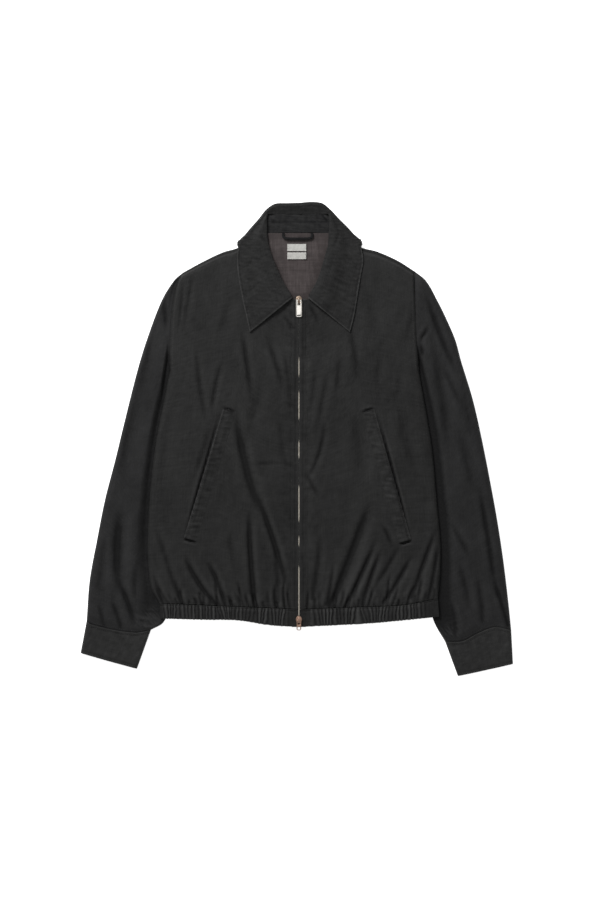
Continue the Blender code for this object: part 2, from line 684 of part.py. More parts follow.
def make_collar():
    right = [leaf_section(line) for line in LEAF["right"]]
    left = [leaf_section(line) for line in LEAF["left"]]
    sheet("collar_leaf", right + [leaf_section(LEAF_MIDDLE)] + left[::-1], LEAF_WALL, "shell")
    halves = {}
    for side, sign in SIGN.items():
        neck_point = top_line(side, NECK_U)
        fold = neck_point + Vector((sign * FOLD_REACH, 0))
        paths = {
            "front": [body_plan(side, column.u, TOP_ROW * column.top)
                      for column in COLUMNS[-2:NECK_COLUMN - 1:-1]],
            "back": [body_plan(side, COLUMNS[column].u, TOP_ROW)
                     for column in BACK_COLUMNS if column >= NECK_COLUMN],
            "fold": [fold, neck_point],
        }
        halves[side] = [stand_section(line, paths) for line in STAND[side]]
        middle = stand_section(STAND_MIDDLE, paths)
    sheet("collar_stand", halves["right"] + [middle] + halves["left"][::-1], STAND_WALL,
          "shell")


def make_welts():
    """Slanted pocket welts lying on the plain part of the fronts."""
    low = FRONT_REST + PANEL_WALL + SEAM
    for side, welt in WELTS.items():
        top, bottom = Vector((welt.top_x, welt.top_y)), Vector((welt.low_x, welt.low_y))
        half = (bottom - top).normalized().orthogonal() * (welt.width / 2)
        outline = [top - half, bottom - half, bottom + half, top + half]
        prism("pocket_welt_" + side, outline, low, low + WELT_WALL, "shell")


def box_outline(x0, y0, x1, y1):
    return [(x0, y0), (x1, y0), (x1, y1), (x0, y1)]


def make_zip():
    for side, sign in SIGN.items():
        near, far = ZIP_X + sign * (CHAIN_HALF + SEAM), ZIP_X + sign * TAPE_REACH
        prism("zip_tape_" + side, box_outline(near, ZIP_BOTTOM, far, ZIP_TOP),
              TAPE_Z, TAPE_Z + TRIM_WALL, "tape")
    top, bottom = SLIDERS["top"], SLIDERS["bottom"]
    prism("zip_chain", box_outline(ZIP_X - CHAIN_HALF, bottom.top + SEAM,
                                   ZIP_X + CHAIN_HALF, top.top - top.length - SEAM),
          *CHAIN_Z, "nickel")


def hide_tool(tool):
    tool.hide_render = True
    tool.display_type = "WIRE"


def combine(piece, tool, operation):
    modifier = piece.modifiers.new(operation.lower(), "BOOLEAN")
    modifier.operation = operation
    modifier.object = tool
    hide_tool(tool)


def shield(slider, half, middle):
    """Plan outline of a slider's plate: round shoulders above, narrower below."""
    low = middle - slider.length / 2
    upper, lower = (half * share for share in PLATE_TAPER)
    outline = []
    for step in range(PLATE_ARC_STEPS + 1):
        angle = math.pi * step / PLATE_ARC_STEPS
        outline.append((ZIP_X + half * math.cos(angle),
                        middle + slider.length / 2 * math.sin(angle)))
    outline += [(ZIP_X - upper, low + 1.0), (ZIP_X - lower, low),
                (ZIP_X + lower, low), (ZIP_X + upper, low + 1.0)]
    return outline


def make_slider(name, slider, colours):
    middle = slider.top - slider.length / 2
    half = slider.width / 2
    body = prism("zip_slider_" + name, shield(slider, half, middle), *PLATE_TOP_Z, colours)
    across, along = POST_HALF
    post = prism(name + "_post_tool",
                 box_outline(ZIP_X - across, middle - along, ZIP_X + across, middle + along),
                 PLATE_LOW_Z[1] - OVERLAP, PLATE_TOP_Z[0] + OVERLAP, colours)
    plate = prism(name + "_plate_tool", shield(slider, half * LOW_PLATE_SHARE, middle),
                  *PLATE_LOW_Z, colours)
    reach = BRIDGE_INNER[0] / 2 + BRIDGE_BAR
    bridge = prism(name + "_bridge_tool",
                   box_outline(ZIP_X - BRIDGE_WIDTH / 2, slider.hinge - reach,
                               ZIP_X + BRIDGE_WIDTH / 2, slider.hinge + reach),
                   PLATE_TOP_Z[1] - OVERLAP, PLATE_TOP_Z[1] + BRIDGE_INNER[1] + BRIDGE_BAR,
                   colours)
    hollow = prism(name + "_hollow_tool",
                   box_outline(ZIP_X - BRIDGE_WIDTH, slider.hinge - BRIDGE_INNER[0] / 2,
                               ZIP_X + BRIDGE_WIDTH, slider.hinge + BRIDGE_INNER[0] / 2),
                   PLATE_TOP_Z[1], PLATE_TOP_Z[1] + BRIDGE_INNER[1], colours)
    combine(bridge, hollow, "DIFFERENCE")
    for tool in (post, plate, bridge):
        combine(body, tool, "UNION")


def make_pull(name, slider, colours):
    """A pull tab whose upper bar lies in the slider's bridge, with its origin on the bar."""
    half, corner, bar_end, bar_wall = slider.pull_width / 2, 1.6, 0.8, 0.6
    narrow, far = half * 0.8, bar_end - slider.pull_length
    outline = [(narrow, bar_end), (-narrow, bar_end), (-half, bar_end - corner * 2),
               (-half, far + corner), (-half + corner, far), (half - corner, far),
               (half, far + corner), (half, bar_end - corner * 2)]
    pull = prism("zip_pull_" + name, outline, -PULL_WALL / 2, PULL_WALL / 2, colours)
    for index, slot in enumerate(slider.slots):
        top = bar_end - slot.start - bar_wall
        tool = prism(f"{name}_slot_tool_{index}",
                     box_outline(-slot.width / 2, top - slot.length, slot.width / 2, top),
                     -PULL_WALL, PULL_WALL, colours)
        tool.parent = pull
        combine(pull, tool, "DIFFERENCE")
    place = Vector((ZIP_X, slider.hinge, HINGE_Z)) * MM
    pull.matrix_world = Matrix.Translation(place) @ Matrix.Rotation(PULL_TILT, 4, "X")


def main():
    for leftover in list(bpy.data.objects):
        bpy.data.objects.remove(leftover)
    make_body()
    make_neck_trim()
    make_sleeves()
    make_hem_bands()
    make_collar()
    make_welts()
    make_zip()
    for name, slider in SLIDERS.items():
        colours = "nickel" if name == "top" else "copper"
        make_slider(name, slider, colours)
        make_pull(name, slider, colours)


main()
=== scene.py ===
"""The looks of a harrington jacket that lies flat, zipped up, on its back.

The cloth is laid out in plan, in millimetres, between the same pattern lines as the solids:
X runs to the wearer's left, Y to the collar, Z up from the surface. Each piece is a fine grid
that its own function puts in place, with creases, gathers and seams as soft relief, and gets
its wall from a modifier. Metal parts are the solids' own shapes with their edges rounded.
"""

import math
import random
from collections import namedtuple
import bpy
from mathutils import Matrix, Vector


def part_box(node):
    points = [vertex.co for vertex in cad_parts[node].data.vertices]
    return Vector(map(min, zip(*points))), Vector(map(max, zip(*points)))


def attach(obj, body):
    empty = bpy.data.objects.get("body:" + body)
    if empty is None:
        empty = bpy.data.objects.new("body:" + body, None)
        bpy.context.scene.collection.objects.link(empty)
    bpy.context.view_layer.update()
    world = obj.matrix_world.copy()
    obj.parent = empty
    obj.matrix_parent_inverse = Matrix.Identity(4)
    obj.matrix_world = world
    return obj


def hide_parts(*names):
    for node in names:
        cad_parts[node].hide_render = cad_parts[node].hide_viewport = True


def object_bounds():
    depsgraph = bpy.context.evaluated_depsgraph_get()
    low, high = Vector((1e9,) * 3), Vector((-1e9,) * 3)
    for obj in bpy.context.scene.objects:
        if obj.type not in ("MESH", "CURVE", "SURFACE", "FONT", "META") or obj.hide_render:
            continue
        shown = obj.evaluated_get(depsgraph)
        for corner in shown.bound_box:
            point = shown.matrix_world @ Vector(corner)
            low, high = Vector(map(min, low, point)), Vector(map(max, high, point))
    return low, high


bl_info = {
    "name": "Harrington Jacket",
    "version": (1, 0, 0),
    "blender": (4, 5, 0),
    "location": "View3D > Sidebar > Jacket",
    "description": "Builds the cloth, trims and zip of a harrington jacket laid flat",
    "category": "Object",
}

import bmesh
import bpy
import numpy as np
from bpy.props import FloatProperty, FloatVectorProperty, PointerProperty
from mathutils import Matrix, Vector
from mathutils.bvhtree import BVHTree

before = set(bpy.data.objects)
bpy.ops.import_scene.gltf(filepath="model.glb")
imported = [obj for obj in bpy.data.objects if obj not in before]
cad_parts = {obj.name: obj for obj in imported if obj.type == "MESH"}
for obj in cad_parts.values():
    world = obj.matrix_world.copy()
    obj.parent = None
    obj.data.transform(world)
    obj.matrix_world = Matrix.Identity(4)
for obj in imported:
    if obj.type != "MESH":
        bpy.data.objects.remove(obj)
CAD_LOW, CAD_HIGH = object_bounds()

# The stage, in metres.
FLOOR_HALF = 8.0
FLOOR_DROP = 0.0006
KEY_PLACE = (-1.3, 2.2, 1.9)
KEY_SIZE = 1.1
OVERHEAD_SIZE = 2.0
LENS = 100              # millimetres, as is the sensor's width
SENSOR = 36
CAMERA_SHIFT = (0.0053, -0.0183)  # of the camera from the middle of the jacket

MM = 0.001
SIGN = {"right": -1.0, "left": 1.0}
CHAIN_LOW, CHAIN_HIGH = (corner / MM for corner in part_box("zip_chain"))
ZIP_X = (CHAIN_LOW.x + CHAIN_HIGH.x) / 2

# Pattern lines of the wearer's right (-X) and left (+X), in millimetres.
PLAN = {
    "right": {
        "side": [(-225, -271), (-238, -248), (-243, -220), (-245, -174), (-243, -111),
                 (-238, -55), (-230, 4), (-220, 54), (-209, 111)],
        "armhole": [(-209, 111), (-209, 151), (-205, 219), (-197, 258), (-186, 276)],
        "shoulder": [(-186, 276), (-153, 294), (-121, 309), (-97, 316), (-77, 328)],
        "neck": [(-77, 328), (-57, 336), (-35, 340), (4, 340)],
        "hem": [(-225, -271), (-187, -272), (-93, -276), (4, -280)],
        "band": [(-224, -295), (-154, -297), (-98, -298), (-44, -306), (4, -309)],
        "sleeve_outer": [(-187, 276), (-202, 263), (-222, 230), (-247, 164), (-262, 115),
                         (-283, 32), (-299, -34), (-316, -100), (-329, -166), (-341, -232),
                         (-346, -299)],
        "crease": [(-212, 108), (-223, 54), (-233, 4), (-241, -55), (-246, -111), (-248, -174),
                   (-246, -220), (-242, -248), (-241, -280), (-245, -305), (-254, -316)],
        "sleeve_inner": [(-209, 110), (-191, 65), (-192, 4), (-200, -67), (-205, -133),
                         (-207, -199), (-207, -265), (-219, -301), (-240, -314)],
        "cuff_seam": [(-346, -299), (-339, -304), (-303, -313), (-265, -318), (-240, -314)],
        "cuff_end": [(-356, -352), (-311, -365), (-263, -378)],
    },
    "left": {
        "side": [(233, -262), (237, -220), (237, -166), (232, -111), (225, -29), (217, 27),
                 (202, 111)],
        "armhole": [(202, 111), (198, 164), (196, 219), (195, 255), (194, 278)],
        "shoulder": [(194, 278), (167, 295), (133, 310), (106, 317), (87, 328)],
        "neck": [(87, 328), (65, 336), (42, 340), (4, 340)],
        "hem": [(233, -262), (176, -273), (88, -277), (4, -280)],
        "band": [(235, -292), (176, -298), (121, -303), (4, -309)],
        "sleeve_outer": [(195, 279), (214, 263), (232, 230), (248, 197), (262, 164),
                         (271, 131), (291, 65), (306, -1), (319, -67), (331, -133),
                         (341, -199), (349, -265), (354, -314)],
        "crease": [(205, 108), (213, 65), (220, 27), (228, -29), (235, -111), (240, -166),
                   (240, -220), (239, -262), (241, -300), (259, -333)],
        "sleeve_inner": [(202, 110), (189, 65), (196, 4), (204, -67), (210, -133), (215, -199),
                         (217, -257), (227, -301), (245, -333)],
        "cuff_seam": [(354, -314), (326, -309), (299, -319), (273, -332), (245, -333)],
        "cuff_end": [(357, -370), (313, -380), (266, -390)],
    },
}

# Shares of the plan: u runs from the side (0) over the neck point to the zip (1), v from the
# hem (0) over the pit to the shoulder (1). The front keeps a share of v, cut as its neckline.
NECK_U = 0.44
PIT_V = 2 / 3
FRONT_TOP = [(0.0, 1.0), (0.44, 1.0), (0.52, 0.930), (0.60, 0.884), (0.68, 0.857),
             (0.77, 0.836), (0.86, 0.826), (0.935, 0.8215), (1.0, 0.8215)]

# Heights of the cloth's upper side, in millimetres.
BODY_TOP = 9.4          # the fronts, where they lie loose
UNDER_LEAF_TOP = 6.3    # the fronts below the turned-down collar
AT_ZIP_TOP = 7.7
SHOULDER_TOP = 3.0      # their edges at the shoulder and at the waistband's seam
HEM_TOP = 6.9
BACK_TOP = 1.6          # the back, where it lies on the surface
SIDE_LIFT = 3.0         # the back lies on the sleeves' tucked edges
TUCK_TOP = 2.3          # the part of a sleeve that is tucked under the body
# The fronts' side edge from the hem to the shoulder, by v.
SIDE_TOP = [(0.0, 5.5), (0.66, 5.5), (0.72, 7.2), (0.78, 8.4), (0.84, 8.6), (0.90, 7.8),
            (0.95, 6.4), (1.0, 3.4)]

# Creases of the cloth: a soft trough (depth > 0) from one point to another, bowed sideways at
# its middle, with a bulge along each flank. One that is held runs full into its second end.
Crease = namedtuple("Crease", "x0 y0 x1 y1 bow width depth held")
CREASES = {
    "front_right": [
        Crease(-90, 191, -71, 55, -1, 5.8, 1.5, 0),
        Crease(-165, 166, -144, 12, -5, 5.2, 1.2, 0),
        Crease(-121, 133, -140, 30, -4, 4.7, 1.2, 0),
        Crease(-52, 183, -19, 71, 1, 6.3, 1.2, 0),
        Crease(-186, 273, -198, 161, 2, 4.2, 1, 0),
        Crease(-169, 277, -189, 161, -1, 5.2, 0.9, 0),
        Crease(-103, 65, -54, -138, -7, 8.4, 2.3, 0),
        Crease(-72, -74, -10, -262, 3, 5.2, 2.8, 0),
        Crease(-78, -108, -68, -276, -3, 5.5, 3, 1),
        Crease(-202, -228, -190, -274, 0, 4, 1.8, 1),
        Crease(-186, -186, -132, -272, -6, 5, 2.6, 1),
        Crease(-151, -196, -119, -272, 4, 4.5, 2.4, 1),
        Crease(-236, -135, -193, -276, 2, 5.2, 1.1, 0),
        Crease(-237, -219, -222, -268, 0, 4, 1.5, 1),
        Crease(-83, -42, -7, -40, 1, 4.2, 0.6, 0),
        Crease(-24, 207, -3, 179, 0, 3.7, 0.9, 0),
        Crease(-138, 34, -171, -72, 2, 6.3, 0.9, 0),
        Crease(-38, -170, -30, -268, 2, 5, 1.2, 1),
        Crease(-109, -142, -97, -224, -4, 7.4, 0.7, 0),
        Crease(-203, 78, -224, -108, -6, 12.6, 0.6, 0),
        Crease(-56, 138, -100, -48, 6, 11.6, 0.7, 0),
        Crease(-109, 250, -137, 150, 4, 9.5, 0.5, 0),
        Crease(-23, 161, -11, 49, 3, 6.3, 0.6, 0),
        Crease(-30, 52, -12, -72, -3, 7.4, 0.6, 0),
    ],
    "front_left": [
        Crease(47, 38, 13, -77, 8, 5.2, 1.3, 0),
        Crease(13, -53, 40, -101, 0, 4.7, 1, 0),
        Crease(126, -88, 57, -272, 2, 9, 2.7, 1),
        Crease(133, -160, 80, -276, 2, 5, 2.9, 1),
        Crease(141, -178, 109, -274, -2, 4.5, 2.4, 1),
        Crease(173, -168, 121, -254, 2, 5.2, 1.4, 0),
        Crease(192, -184, 144, -268, 3, 5, 2.4, 1),
        Crease(233, -140, 190, -262, -1, 5, 2.4, 1),
        Crease(236, -160, 218, -262, 1, 4.5, 2.2, 1),
        Crease(139, -138, 158, -180, 2, 4.2, 1.2, 0),
        Crease(141, 152, 134, 70, -3, 7.4, 0.5, 0),
        Crease(168, 118, 161, 52, 3, 6.8, 0.4, 0),
        Crease(18, 226, 38, 186, 2, 4.2, 1, 0),
        Crease(73, 147, 63, 57, 0, 6.3, 0.9, 0),
        Crease(84, 197, 102, 83, 3, 7.4, 1, 0),
        Crease(56, 121, 36, 9, -3, 6.3, 0.9, 0),
        Crease(31, 130, 21, 30, 2, 6.3, 0.8, 0),
        Crease(167, 74, 199, -74, -4, 10.5, 0.7, 0),
        Crease(91, 53, 105, -83, 4, 12.6, 0.7, 0),
        Crease(40, -150, 26, -262, 2, 6, 1.3, 1),
        Crease(62, -196, 50, -272, 1, 4, 1.7, 1),
        Crease(209, 240, 175, 140, -4, 8.4, 0.6, 0),
        Crease(108, 260, 130, 160, 3, 10.5, 0.5, 0),
    ],
    "sleeve_right": [
        Crease(-288, -104, -292, -266, -6, 10.5, 2.5, 0),
        Crease(-296, -228, -265, -314, 3, 6.3, 2.3, 0),
        Crease(-221, 242, -211, 169, 0, 7.4, 1.4, 0),
        Crease(-258, -184, -262, -299, -7, 7.4, 1.2, 0),
        Crease(-237, 204, -265, 56, 4, 10.5, 0.9, 0),
        Crease(-259, 76, -293, -86, -5, 13.7, 0.9, 0),
        Crease(-317, -137, -331, -275, 3, 10.5, 0.9, 0),
        Crease(-306, -262, -290, -308, 1, 5, 1.4, 1),
        Crease(-326, -268, -318, -306, 0, 5, 1.1, 1),
    ],
    "sleeve_left": [
        Crease(198, 158, 220, 188, -1, 4, 1.9, 0),
        Crease(199, 162, 210, 132, 1, 6, 2.2, 0),
        Crease(297, -60, 330, -266, 2, 6.3, 1.9, 0),
        Crease(323, -230, 348, -306, 2, 5, 2.6, 1),
        Crease(249, -131, 289, -203, 2, 5.2, 1.2, 0),
        Crease(264, -197, 284, -289, 4, 6.3, 1.2, 0),
        Crease(209, 255, 270, 97, -4, 6.3, 1.6, 0),
        Crease(238, 130, 276, 44, 0, 6.3, 1.2, 0),
        Crease(219, 191, 253, -47, 3, 10.5, 1.1, 0),
        Crease(259, 33, 293, -103, 4, 10.5, 0.9, 0),
        Crease(268, 111, 288, -1, 2, 9.5, 0.8, 0),
        Crease(296, -220, 306, -300, 2, 6, 1.3, 1),
        Crease(252, -262, 262, -318, 2, 5, 1.5, 1),
    ],
    "back": [
        Crease(-60, -90, -120, -266, 4, 9, 0.9, 1),
        Crease(70, -80, 130, -264, -4, 9, 0.9, 1),
        Crease(-10, -120, -26, -270, 2, 8, 0.8, 1),
        Crease(-146, 197, -84, 23, 6, 12.6, 0.5, 0),
        Crease(156, 206, 90, 44, -6, 12.6, 0.5, 0),
        Crease(32, 142, 14, -82, 3, 14.7, 0.5, 0),
        Crease(190, -150, 214, -262, -2, 8, 0.9, 1),
        Crease(-196, -150, -210, -268, 2, 8, 0.9, 1),
    ],
    "collar": [
        Crease(4, 384, 17, 370, 1, 2.4, 0.9, 0),
        Crease(40, 374, 55, 356, -1, 2.4, 1.1, 0),
        Crease(-30, 384, -12, 377, 1, 3, 0.5, 0),
        Crease(20, 386, 36, 380, 1, 3, 0.5, 0),
        Crease(-44, 366, -34, 352, 1, 2.6, 0.6, 0),
        Crease(-70, 300, -88, 282, 2, 4, 0.5, 0),
        Crease(-60, 262, -84, 240, 2, 4, 0.4, 0),
        Crease(74, 306, 100, 290, -2, 4, 0.5, 0),
        Crease(60, 262, 92, 246, 2, 4, 0.4, 0),
        Crease(-62, 344, -52, 318, 2, 4, 0.5, 0),
        Crease(70, 344, 60, 316, 2, 4, 0.5, 0),
    ],
    "lining": [
        Crease(-40, 277, 46, 275, 1, 3.5, 0.5, 0),
        Crease(-20, 262, -10, 236, 2, 4, 0.4, 0),
        Crease(22, 296, 30, 250, -2, 4, 0.4, 0),
    ],
}
CREASE_STEPS = 14

# Low uneven waves of the cloth: height, pitch, the seed's name and the stretch along Y.
Wave = namedtuple("Wave", "height pitch name stretch")
WAVES = {
    "front": [Wave(0.55, 75, "swell ", 1.6), Wave(0.30, 28, "roll ", 1.8),
              Wave(0.10, 11, "fine ", 1.3)],
    "sleeve": [Wave(0.5, 70, "sleeve swell ", 1.7), Wave(0.28, 26, "sleeve roll ", 1.6),
               Wave(0.12, 10, "sleeve fine ", 1.2)],
    "cuff": [Wave(0.35, 30, "cuff ", 1.0), Wave(0.22, 11, "cuff crumple ", 1.0)],
    "lining": [Wave(0.22, 22, "lining", 2.5), Wave(0.10, 7, "lining fine", 3.0)],
}

# Small gathers that rise from the waistband's seam: how many on each side, and their ranges.
GATHER_COUNT = 26
GATHER_LENGTH = (16.0, 62.0)
GATHER_DEPTH = (0.9, 2.6)
GATHER_WIDTH = (2.6, 4.0)
GATHER_LEAN = (0.05, 0.55)

# Collar leaf: sections from the front edge round to the middle of the back. "start" is at the
# roll edge, "turn" on the folded outline where the leaf goes under, "end" at its edge.
LeafLine = namedtuple("LeafLine", "start_x start_y start_z top turn_x turn_y end_x end_y")
LEAF = {
    "right": [
        LeafLine(-7, 233, 10.3, 10, None, None, -77, 177),
        LeafLine(-14, 247, 10.3, 10, None, None, -82, 200),
        LeafLine(-21, 258, 10.3, 10, None, None, -87, 222),
        LeafLine(-29, 275, 10.3, 10, None, None, -92, 247),
        LeafLine(-37, 293, 10.3, 10, None, None, -96, 271),
        LeafLine(-44, 313, 10.3, 10, None, None, -98, 295),
        LeafLine(-48, 329, 10.3, 10, None, None, -96.5, 316),
        LeafLine(-48.5, 333, 10.3, 9, -97.8, 321, None, None),
        LeafLine(-48.8, 335, 10.3, 8, -97.4, 324.2, -93, 320),
        LeafLine(-49, 337, 10.3, 7, -96, 327, -90, 320),
        LeafLine(-49, 342, 10.3, 6, -91, 331, -86, 315),
        LeafLine(-49, 354, 10.3, 5, -77, 346, -77, 309),
        LeafLine(-49, 364, 9.6, 5, -62, 363, -57, 308),
        LeafLine(-47, 371.6, 7.2, 5, -49, 379, -44, 308),
        LeafLine(-35, 371.4, 5.8, 5, -35, 388, -30, 308),
        LeafLine(-16, 371.4, 5.8, 5, -16, 389, -14, 308),
    ],
    "left": [
        LeafLine(19, 233, 10.3, 10, None, None, 88, 177),
        LeafLine(26, 247, 10.3, 10, None, None, 94, 200),
        LeafLine(32, 258, 10.3, 10, None, None, 98, 222),
        LeafLine(39, 275, 10.3, 10, None, None, 102, 247),
        LeafLine(44, 293, 10.3, 10, None, None, 106, 271),
        LeafLine(50, 313, 10.3, 10, None, None, 110, 295),
        LeafLine(54, 329, 10.3, 10, None, None, 107, 317),
        LeafLine(54, 333, 10.3, 9, 108.3, 322, None, None),
        LeafLine(54, 335, 10.3, 8, 107.6, 325.8, 103, 321),
        LeafLine(54, 337, 10.3, 7, 106, 329, 100, 321),
        LeafLine(54, 342, 10.3, 6, 100, 333, 96, 316),
        LeafLine(54, 354, 10.3, 5, 86, 347, 86, 309),
        LeafLine(54, 364, 9.6, 5, 70, 363, 66, 308),
        LeafLine(53, 371.6, 7.2, 5, 56, 378, 53, 308),
        LeafLine(42, 371.4, 5.8, 5, 42, 389, 40, 308),
        LeafLine(24, 371.4, 5.8, 5, 24, 391, 24, 308),
    ],
}
LEAF_MIDDLE = LeafLine(4, 371.4, 5.8, 5, 4, 389.5, 4, 308)
LEAF_POINTS = 10
LEAF_TURN_REACH = 3.2
LEAF_REST_Z = 8.0
UNDER_LEAF_Z = 1.2
ROLL_DROP = 1.3         # how far the leaf curves down into its roll edge

# Collar stand: sections from the zip to the middle of the back, each from its seam edge on the
# neckline to its upper edge under the leaf's roll.
StandLine = namedtuple("StandLine", "seam_x seam_y seam_z upper_x upper_y upper_z")
STAND = {
    "right": [
        StandLine(-12, 231, 6.8, -8, 238, 7.7),
        StandLine(-27, 237, 6.4, -14, 246, 8.0),
        StandLine(-42, 247, 6.1, -20, 256, 8.0),
        StandLine(-56, 262, 5.9, -28, 269, 8.0),
        StandLine(-66, 284, 5.9, -36, 286, 8.0),
        StandLine(-72, 303, 5.6, -42, 303, 8.0),
        StandLine(-75, 320, 5.5, -46, 322, 8.0),
        StandLine(-76, 325, 5.4, -48, 341, 8.0),
        StandLine(-77, 329, 5.4, -49, 357, 7.6),
        StandLine(-79, 329, 4.3, -50, 370, 5.8),
        StandLine(-73, 331, 3.2, -46.5, 371, 4.1),
        StandLine(-64, 334, 3.2, -42, 371.2, 4.8),
        StandLine(-52, 338, 3.2, -36, 371.2, 5.4),
        StandLine(-26, 341, 3.2, -21, 371.2, 5.6),
    ],
    "left": [
        StandLine(21, 231, 6.8, 20, 238, 7.7),
        StandLine(36, 237, 6.4, 26, 246, 8.0),
        StandLine(51, 247, 6.1, 31, 256, 8.0),
        StandLine(65, 262, 5.9, 37, 269, 8.0),
        StandLine(75, 284, 5.9, 43, 286, 8.0),
        StandLine(82, 303, 5.6, 48, 303, 8.0),
        StandLine(85, 320, 5.5, 52, 322, 8.0),
        StandLine(86, 325, 5.4, 53, 341, 8.0),
        StandLine(87, 329, 5.4, 54, 357, 7.6),
        StandLine(89, 329, 4.3, 55, 370, 5.8),
        StandLine(83, 331, 3.2, 51.5, 371, 4.1),
        StandLine(73, 334, 3.2, 48, 371.2, 4.8),
        StandLine(61, 338, 3.2, 43, 371.2, 5.4),
        StandLine(34, 341, 3.2, 29, 371.2, 5.6),
    ],
}
STAND_MIDDLE = StandLine(4, 341, 3.2, 4, 371.2, 5.6)

# Pocket welts: the middle of the upper and lower end, and the width across.
Welt = namedtuple("Welt", "top_x top_y low_x low_y width")
WELTS = {
    "right": Welt(top_x=-110.5, top_y=47.5, low_x=-175.5, low_y=-166, width=21),
    "left": Welt(top_x=118, top_y=47, low_x=179, low_y=-169, width=21),
}

# The hanging loop's path in plan, and the width of its strip.
LOOP_PATH = [(-21.5, 340), (-21.5, 334), (-17, 331.2), (4, 330.6), (21, 331.2), (25.5, 334),
             (25.5, 340)]
LOOP_WIDTH = 4.5

# Stretches of the zip, along Y, where the fronts part and the teeth show.
OPEN_STRETCHES = [(106, 133), (35, 78), (-29, -4), (-133, -78), (-174, -161), (-304, -210),
                  (216, 250)]

# More heights, the gathers of the waistband, and the places of the rows of stitches.
NECK_LIFT = 2.4         # the back lies on the leaf's turned-under part
SLEEVE_TOP = 8.6        # the sleeves, where they lie loose
TUCK_SHADE = {"right": 0.4, "left": 0.95}  # how dark the sleeve gets beside the body
TUCK_SHARE = 0.84       # the share of a sleeve's width at which it goes under the body
CUFF_TOP = 7.4
EDGE_Z = 2.6            # a tube's folded outer edge, and lower where it meets the shoulder
SHOULDER_EDGE_Z = 2.0
INNER_Z = 1.2           # a sleeve's tucked edge
BAND_TOP = 8.2          # the waistband's gathers, and its lower fold
BAND_EDGE = 6.7
BAND_HEIGHT = 2.6       # of a gather
BACK_BAND_TOP = 1.9
BACK_BAND_EDGE = 1.2
RIB_WIDTH = (3.6, 8.0)  # of a gather along the band
PLAIN_SIDE = {"right": 3.0, "left": 21.0}  # lengths of the band without gathers
PLAIN_ZIP = 15.0
SEAM_GAP = 0.06         # between sewn pieces, in plan
FACING = 12.5           # from the zip to the row of stitches beside it
LEAF_STITCH = 3.4       # insets of the other rows of stitches from the edge beside them
CUFF_STITCH = 4.2
SLEEVE_STITCH = 3.2
WELT_STITCH = 3.2
BAND_STITCH = 3.4
HEM_STITCH = 2.2
SHOULDER_STITCH = 7.5
ARMHOLE_STITCH = 5
STAND_SEAM = 343.5      # Y of the stand's lower and middle row of stitches
STAND_ROW = 358
LEAF_UNDER_LOW = 0.9    # the lowest that the turned-under leaf's middle lies
LINING_LOW = 2.85       # the top of the lining away from the neck seam

# Where the leaf's shadow lies in the neck of the fronts: its middle and its reaches.
NECK_SPOT = (4, 262)
NECK_REACH = (140, 112)

# The cloth as it is cut, in metres: width, length and area of each piece.
FLAT = {
    "back": (0.482, 0.620, 0.255),
    "lining": (0.140, 0.172, 0.024),
    "front": (0.250, 0.610, 0.122),
    "sleeve": (0.320, 0.640, 0.125),
    "cuff": (0.224, 0.062, 0.0125),
    "band": (0.260, 0.033, 0.0078),
    "back_band": (0.600, 0.033, 0.0140),
    "leaf": (0.560, 0.085, 0.0380),
    "stand": (0.460, 0.042, 0.0150),
    "welt": (0.021, 0.226, 0.0046),
    "label": (0.031, 0.0116, 0.00035),
    "loop": (0.062, 0.0100, 0.00028),
}

# Cells of each piece's fine grid, across and along. The fronts and the collar work out theirs.
CELLS = {
    "back": (124, 160),
    "lining": (84, 104),
    "sleeve": (120, 250),
    "cuff": (160, 40),
    "band": (300, 24),
    "back_band": (260, 16),
    "welt": (20, 150),
    "label": (48, 20),
    "loop": (10, 80),
}
FRONT_SPAN = (0.25, 0.585)  # of a front's grid, in metres
LEAF_STEPS = (10, 6)        # cells between the sections of the leaf, along and across
STAND_STEPS = (10, 7)
STAND_SHARES = (0, 0.33, 0.67, 1)

# Teeth of the zip: the share of the pitch that one fills, and how far from the zip's middle
# its own middle lies, as a share of its length.
TOOTH_FILL = 0.46
TOOTH_OUT = 0.17


# Plan and relief.


def hermite(spots, steps, keep_turns=False):
    """Puts even steps between given rows of points, on curves whose slopes follow chords.

    With keep_turns, a row of points where a path turns back gets no slope, so that the
    curve never swings past it.
    """
    last = len(spots) - 1
    chords = np.diff(spots, axis=0)
    runs = np.linalg.norm(chords, axis=-1)[..., None]
    eased = np.ones(spots.shape[:-1] + (1,))
    if keep_turns:
        turning = (chords[1:] * chords[:-1]).sum(-1)[..., None]
        eased[1:-1] = np.clip(turning / (runs[1:] * runs[:-1] + 1e-9), 0, 1)
    rows = []
    for index in range(last):
        here, there = spots[index], spots[index + 1]
        before, after = spots[max(index - 1, 0)], spots[min(index + 2, last)]
        chord = runs[index]
        prior = runs[index - 1] if index else 0.0
        following = runs[index + 1] if index + 1 < last else 0.0
        slope_here = (there - before) * chord / (chord + prior + 1e-9) * eased[index]
        slope_there = (after - here) * chord / (chord + following + 1e-9) * eased[index + 1]
        for part in np.linspace(0, 1, steps, endpoint=False):
            square, cube = part ** 2, part ** 3
            rows.append(here * (2 * cube - 3 * square + 1)
                        + slope_here * (cube - 2 * square + part)
                        + there * (3 * square - 2 * cube) + slope_there * (cube - square))
    return np.array(rows + [spots[-1]])


